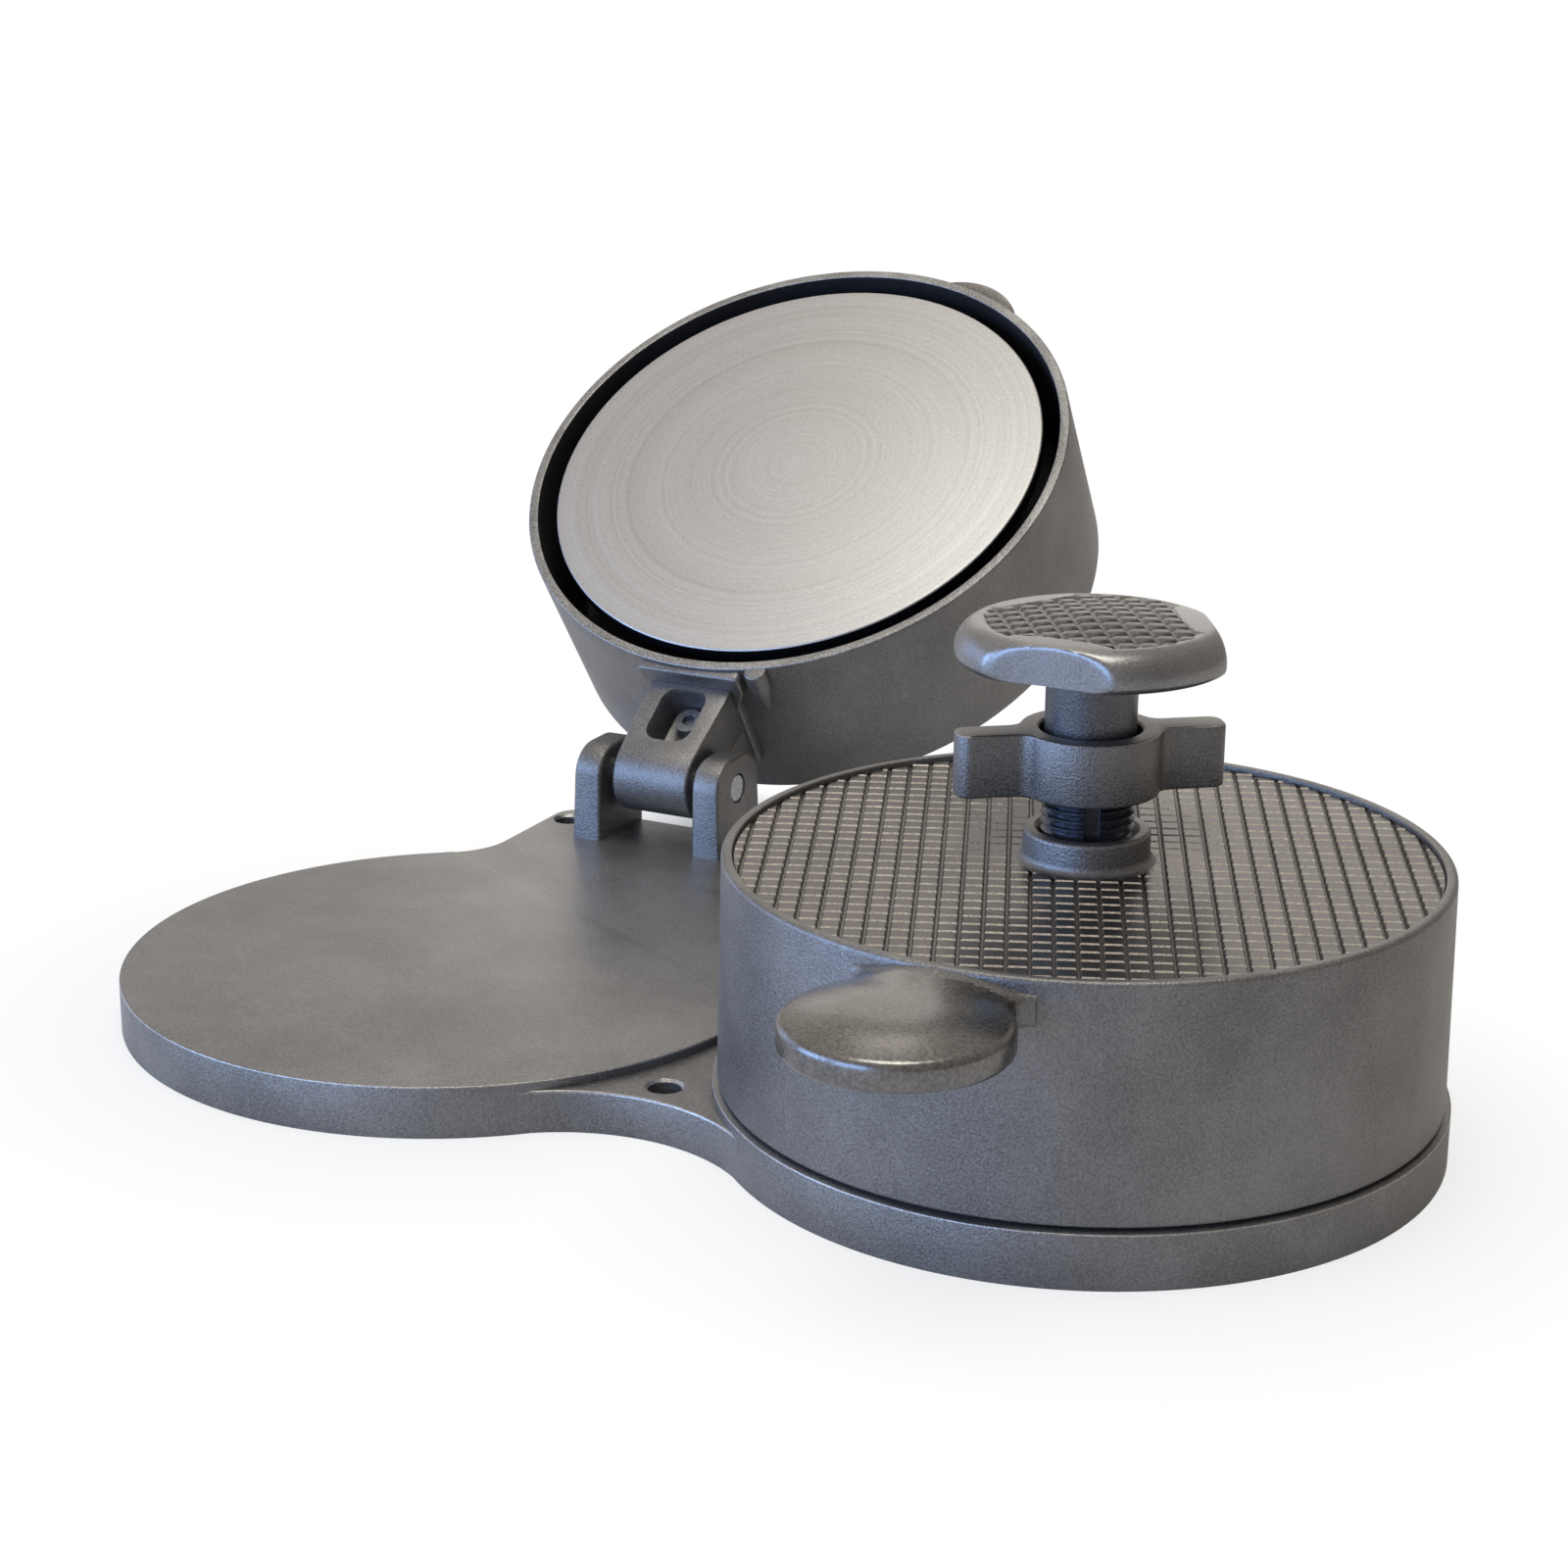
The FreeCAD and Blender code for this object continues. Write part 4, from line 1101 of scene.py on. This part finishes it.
@dataclass
class WingNut:
    """One wing nut: a ring with two flat wings."""

    pose: PressPose
    finishes: Finishes
    local_z: float
    ring: float = 11.3
    height: float = 10.3
    span: float = 21.9
    half_thick: float = 3.0
    corner: float = 2.2
    blend: float = 2.6
    bore: float = 7.56
    mouth: float = 8.2
    turn: float = 36.6

    def build(self) -> None:
        """Makes the nut."""
        side = self.pose.side.value
        y = self.half_thick + self.blend
        x = math.sqrt((self.ring + self.blend) ** 2 - y ** 2)
        lean = math.degrees(math.atan2(y, x))
        quarter = arc((self.span - self.corner, self.half_thick - self.corner), self.corner, 0, 90, 6)
        quarter += arc((x, y), self.blend, -90, -180 + lean, 8)
        ring = arc((0, 0), self.ring, lean, 180 - lean, 40)[1:-1]
        upper = quarter + ring + [(-px, py) for px, py in reversed(quarter)]
        outline = upper + [(-px, -py) for px, py in upper]
        piece = to_object(extrude_outline(outline, 0, self.height, 0.45), side + "_nut_casting")
        combine(piece, extrude_outline(circle(0, 0, self.bore, 64), -1, self.height + 1), Way.CUT)
        mouth = spin_outline([(0, self.height - 3), (self.mouth, self.height - 3), (self.mouth, self.height - 0.3),
                              (self.mouth + 1.3, self.height + 1), (0, self.height + 1)], 64)
        combine(piece, mouth, Way.CUT)
        # Painted highlight: the nut's upward bevels get a lighter copy of the casting.
        paint(piece, 1, lambda centre, normal: 0.3 < normal.z < 0.85 and centre.xy.length > (self.mouth + 1.5) * MM)
        move = self.pose.matrix(self.local_z) @ Matrix.Rotation(math.radians(self.turn), 4, "Z")
        settle(piece, side + "_nut", (side + "_wing_nut",),
               [self.finishes.casting, self.finishes.worn], move)


@dataclass
class Studio:
    """Floor, world, lamps and camera."""

    target: tuple[float, float, float] = (-67.34, 147.23, 0.0)
    azimuth: float = 26.36
    elevation: float = 17.31
    roll: float = 0.38
    distance: float = 682.9
    lens: float = 70.2
    shade_spots: tuple[tuple[float, float, float, float, float], ...] = (
        (-59.6, 0, 60, 95, 0.22), (59.6, 0, 60, 95, 0.22), (-59.6, 108, 12, 34, 0.7))
    mirrored_share: float = 0.15

    def build(self) -> None:
        """Makes the studio."""
        self._floor()
        self._world()
        self._lamp("overhead_softbox", (0.0, -0.04, 1.1), 0.5, 4.2, (1.0, 0.985, 0.9))
        self._lamp("front_window", (-0.276, -1.031, 0.266), 0.6, 5.3, (0.28, 0.5, 1.0))
        self._lamp("left_window", (-0.874, -0.612, 0.266), 0.6, 6.5, (0.28, 0.51, 1.0))
        self._lamp("side_window", (-1.051, 0.185, 0.266), 0.6, 1.4, (0.36, 0.54, 1.0))
        self._lamp("rear_fill", (-0.365, 1.003, 0.266), 0.6, 0.9, (1.0, 0.98, 0.95))
        self._lamp("rear_key", (-0.28, 0.62, 0.85), 0.22, 0.25, (1.0, 0.97, 0.92))
        self._camera()

    def _floor(self) -> None:
        """Makes the floor: a soft shadow near the object, and white to the camera further out."""
        bm = bmesh.new()
        bmesh.ops.create_grid(bm, x_segments=1, y_segments=1, size=4.0)
        floor = to_object(bm, "floor")
        material = bpy.data.materials.new("pale_floor")
        material.use_nodes = True
        tree = Tree(material.node_tree)
        shader = material.node_tree.nodes["Principled BSDF"]
        shader.inputs["Base Color"].default_value = (0.8, 0.8, 0.8, 1)
        shader.inputs["Roughness"].default_value = 0.8
        place = tree.add("TexCoord")
        nearest = None
        for x, y, start, end, most in self.shade_spots:
            reach = tree.add("VectorMath", operation="DISTANCE")
            tree.link(place.outputs["Object"], reach.inputs[0])
            reach.inputs[1].default_value = (x * MM, y * MM, 0)
            spot = tree.map_range(reach.outputs["Value"], start * MM, end * MM, most, 0.0)
            if nearest is None:
                nearest = spot
                continue
            share = tree.add("Math", operation="MAXIMUM")
            tree.link(nearest, share.inputs[0])
            tree.link(spot, share.inputs[1])
            nearest = share.outputs[0]
        white = tree.add("Emission", Color=(1, 1, 1, 1), Strength=1.0)
        keep = tree.add("Math", operation="SUBTRACT")
        keep.inputs[0].default_value = 1.0
        tree.link(nearest, keep.inputs[1])
        factor = tree.add("Math", operation="MULTIPLY")
        tree.link(keep.outputs[0], factor.inputs[0])
        tree.link(self._seen(tree), factor.inputs[1])
        mix = tree.add("MixShader")
        tree.link(factor.outputs[0], mix.inputs[0])
        tree.link(shader.outputs[0], mix.inputs[1])
        tree.link(white.outputs[0], mix.inputs[2])
        tree.link(mix.outputs[0], material.node_tree.nodes["Material Output"].inputs["Surface"])
        floor.data.materials.append(material)

    def _seen(self, tree: Tree) -> bpy.types.NodeSocket:
        """Gives how far a ray sees the white background: the camera's fully, a reflection in part."""
        path = tree.add("LightPath")
        mirrored = tree.add("Math", operation="MULTIPLY_ADD", use_clamp=True)
        tree.link(path.outputs["Is Glossy Ray"], mirrored.inputs[0])
        mirrored.inputs[1].default_value = self.mirrored_share
        tree.link(path.outputs["Is Camera Ray"], mirrored.inputs[2])
        seen = tree.add("Math", operation="MAXIMUM")
        tree.link(mirrored.outputs[0], seen.inputs[0])
        tree.link(path.outputs["Is Transmission Ray"], seen.inputs[1])
        return seen.outputs[0]

    def _world(self) -> None:
        """Makes the world: white where it is seen directly, plainer as a light."""
        world = bpy.data.worlds.new("studio")
        bpy.context.scene.world = world
        world.use_nodes = True
        tree = Tree(world.node_tree)
        light = world.node_tree.nodes["Background"]
        light.inputs["Color"].default_value = (1.0, 0.89, 0.79, 1)
        place = tree.add("TexCoord")
        split = tree.add("SeparateXYZ")
        tree.link(place.outputs["Generated"], split.inputs[0])
        tree.link(tree.map_range(split.outputs["X"], -0.5, 0.9, 0.58, 0.2), light.inputs["Strength"])
        seen = tree.add("Background", Color=(1, 1, 1, 1), Strength=1.0)
        mix = tree.add("MixShader")
        tree.link(self._seen(tree), mix.inputs[0])
        tree.link(light.outputs[0], mix.inputs[1])
        tree.link(seen.outputs[0], mix.inputs[2])
        tree.link(mix.outputs[0], world.node_tree.nodes["World Output"].inputs["Surface"])

    def _lamp(self, name: str, place: tuple[float, float, float], size: float, power: float,
              colour: tuple[float, float, float]) -> None:
        """Adds a soft square lamp that looks at the object.

        Args:
            name: The lamp's name.
            place: Where it stands, in metres.
            size: Its side.
            power: Its power in watts.
            colour: Its colour.
        """
        data = bpy.data.lights.new(name, "AREA")
        data.size = size
        data.energy = power
        data.color = colour
        lamp = bpy.data.objects.new(name, data)
        lamp.location = place
        aim = Vector((0, 0.05, 0.04)) - Vector(place)
        lamp.rotation_euler = aim.to_track_quat("-Z", "Y").to_euler()
        bpy.context.scene.collection.objects.link(lamp)

    def _camera(self) -> None:
        """Places the camera at the photograph's angle."""
        turn, rise = math.radians(self.azimuth), math.radians(self.elevation)
        back = Vector((math.sin(turn) * math.cos(rise), -math.cos(turn) * math.cos(rise), math.sin(rise)))
        right = Vector((0, 0, 1)).cross(back).normalized()
        up = back.cross(right)
        roll = math.radians(self.roll)
        side = right * math.cos(roll) + up * math.sin(roll)
        top = up * math.cos(roll) - right * math.sin(roll)
        data = bpy.data.cameras.new("camera")
        data.lens = self.lens
        data.sensor_width = 36.0
        camera = bpy.data.objects.new("camera", data)
        place = Matrix((side, top, back)).transposed().to_4x4()
        place.translation = (Vector(self.target) + back * self.distance) * MM
        camera.matrix_world = place
        bpy.context.scene.collection.objects.link(camera)
        bpy.context.scene.camera = camera
        bpy.context.scene.view_settings.view_transform = "Standard"


@dataclass
class Fasteners:
    """The small steel pieces whose solids are shown as they are."""

    finishes: Finishes

    def dress(self) -> None:
        """Gives each its material."""
        for side in Side:
            for name, material in (("hinge_pin", self.finishes.bright), ("arm_screw", self.finishes.screw),
                                   ("plate_lock_nut", self.finishes.screw)):
                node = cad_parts[f"{side.value}_{name}"]
                for slot in node.material_slots:
                    slot.material = material


def main() -> None:
    """Builds every piece in order."""
    finishes = Finishes()
    BaseCasting(finishes).build()
    settings = ((Side.LEFT, 145.0, 10.7, 52.3), (Side.RIGHT, 0.0, 9.8, 58.3))
    for side, angle, plate_z, nut_z in settings:
        pose = PressPose(side, angle)
        MouldCup(pose, finishes).build()
        HingeArm(pose, finishes).build()
        Plunger(pose, finishes, plate_z).build()
        WingNut(pose, finishes, nut_z).build()
    Fasteners(finishes).dress()
    Studio().build()


if __name__ == "__main__":
    main()
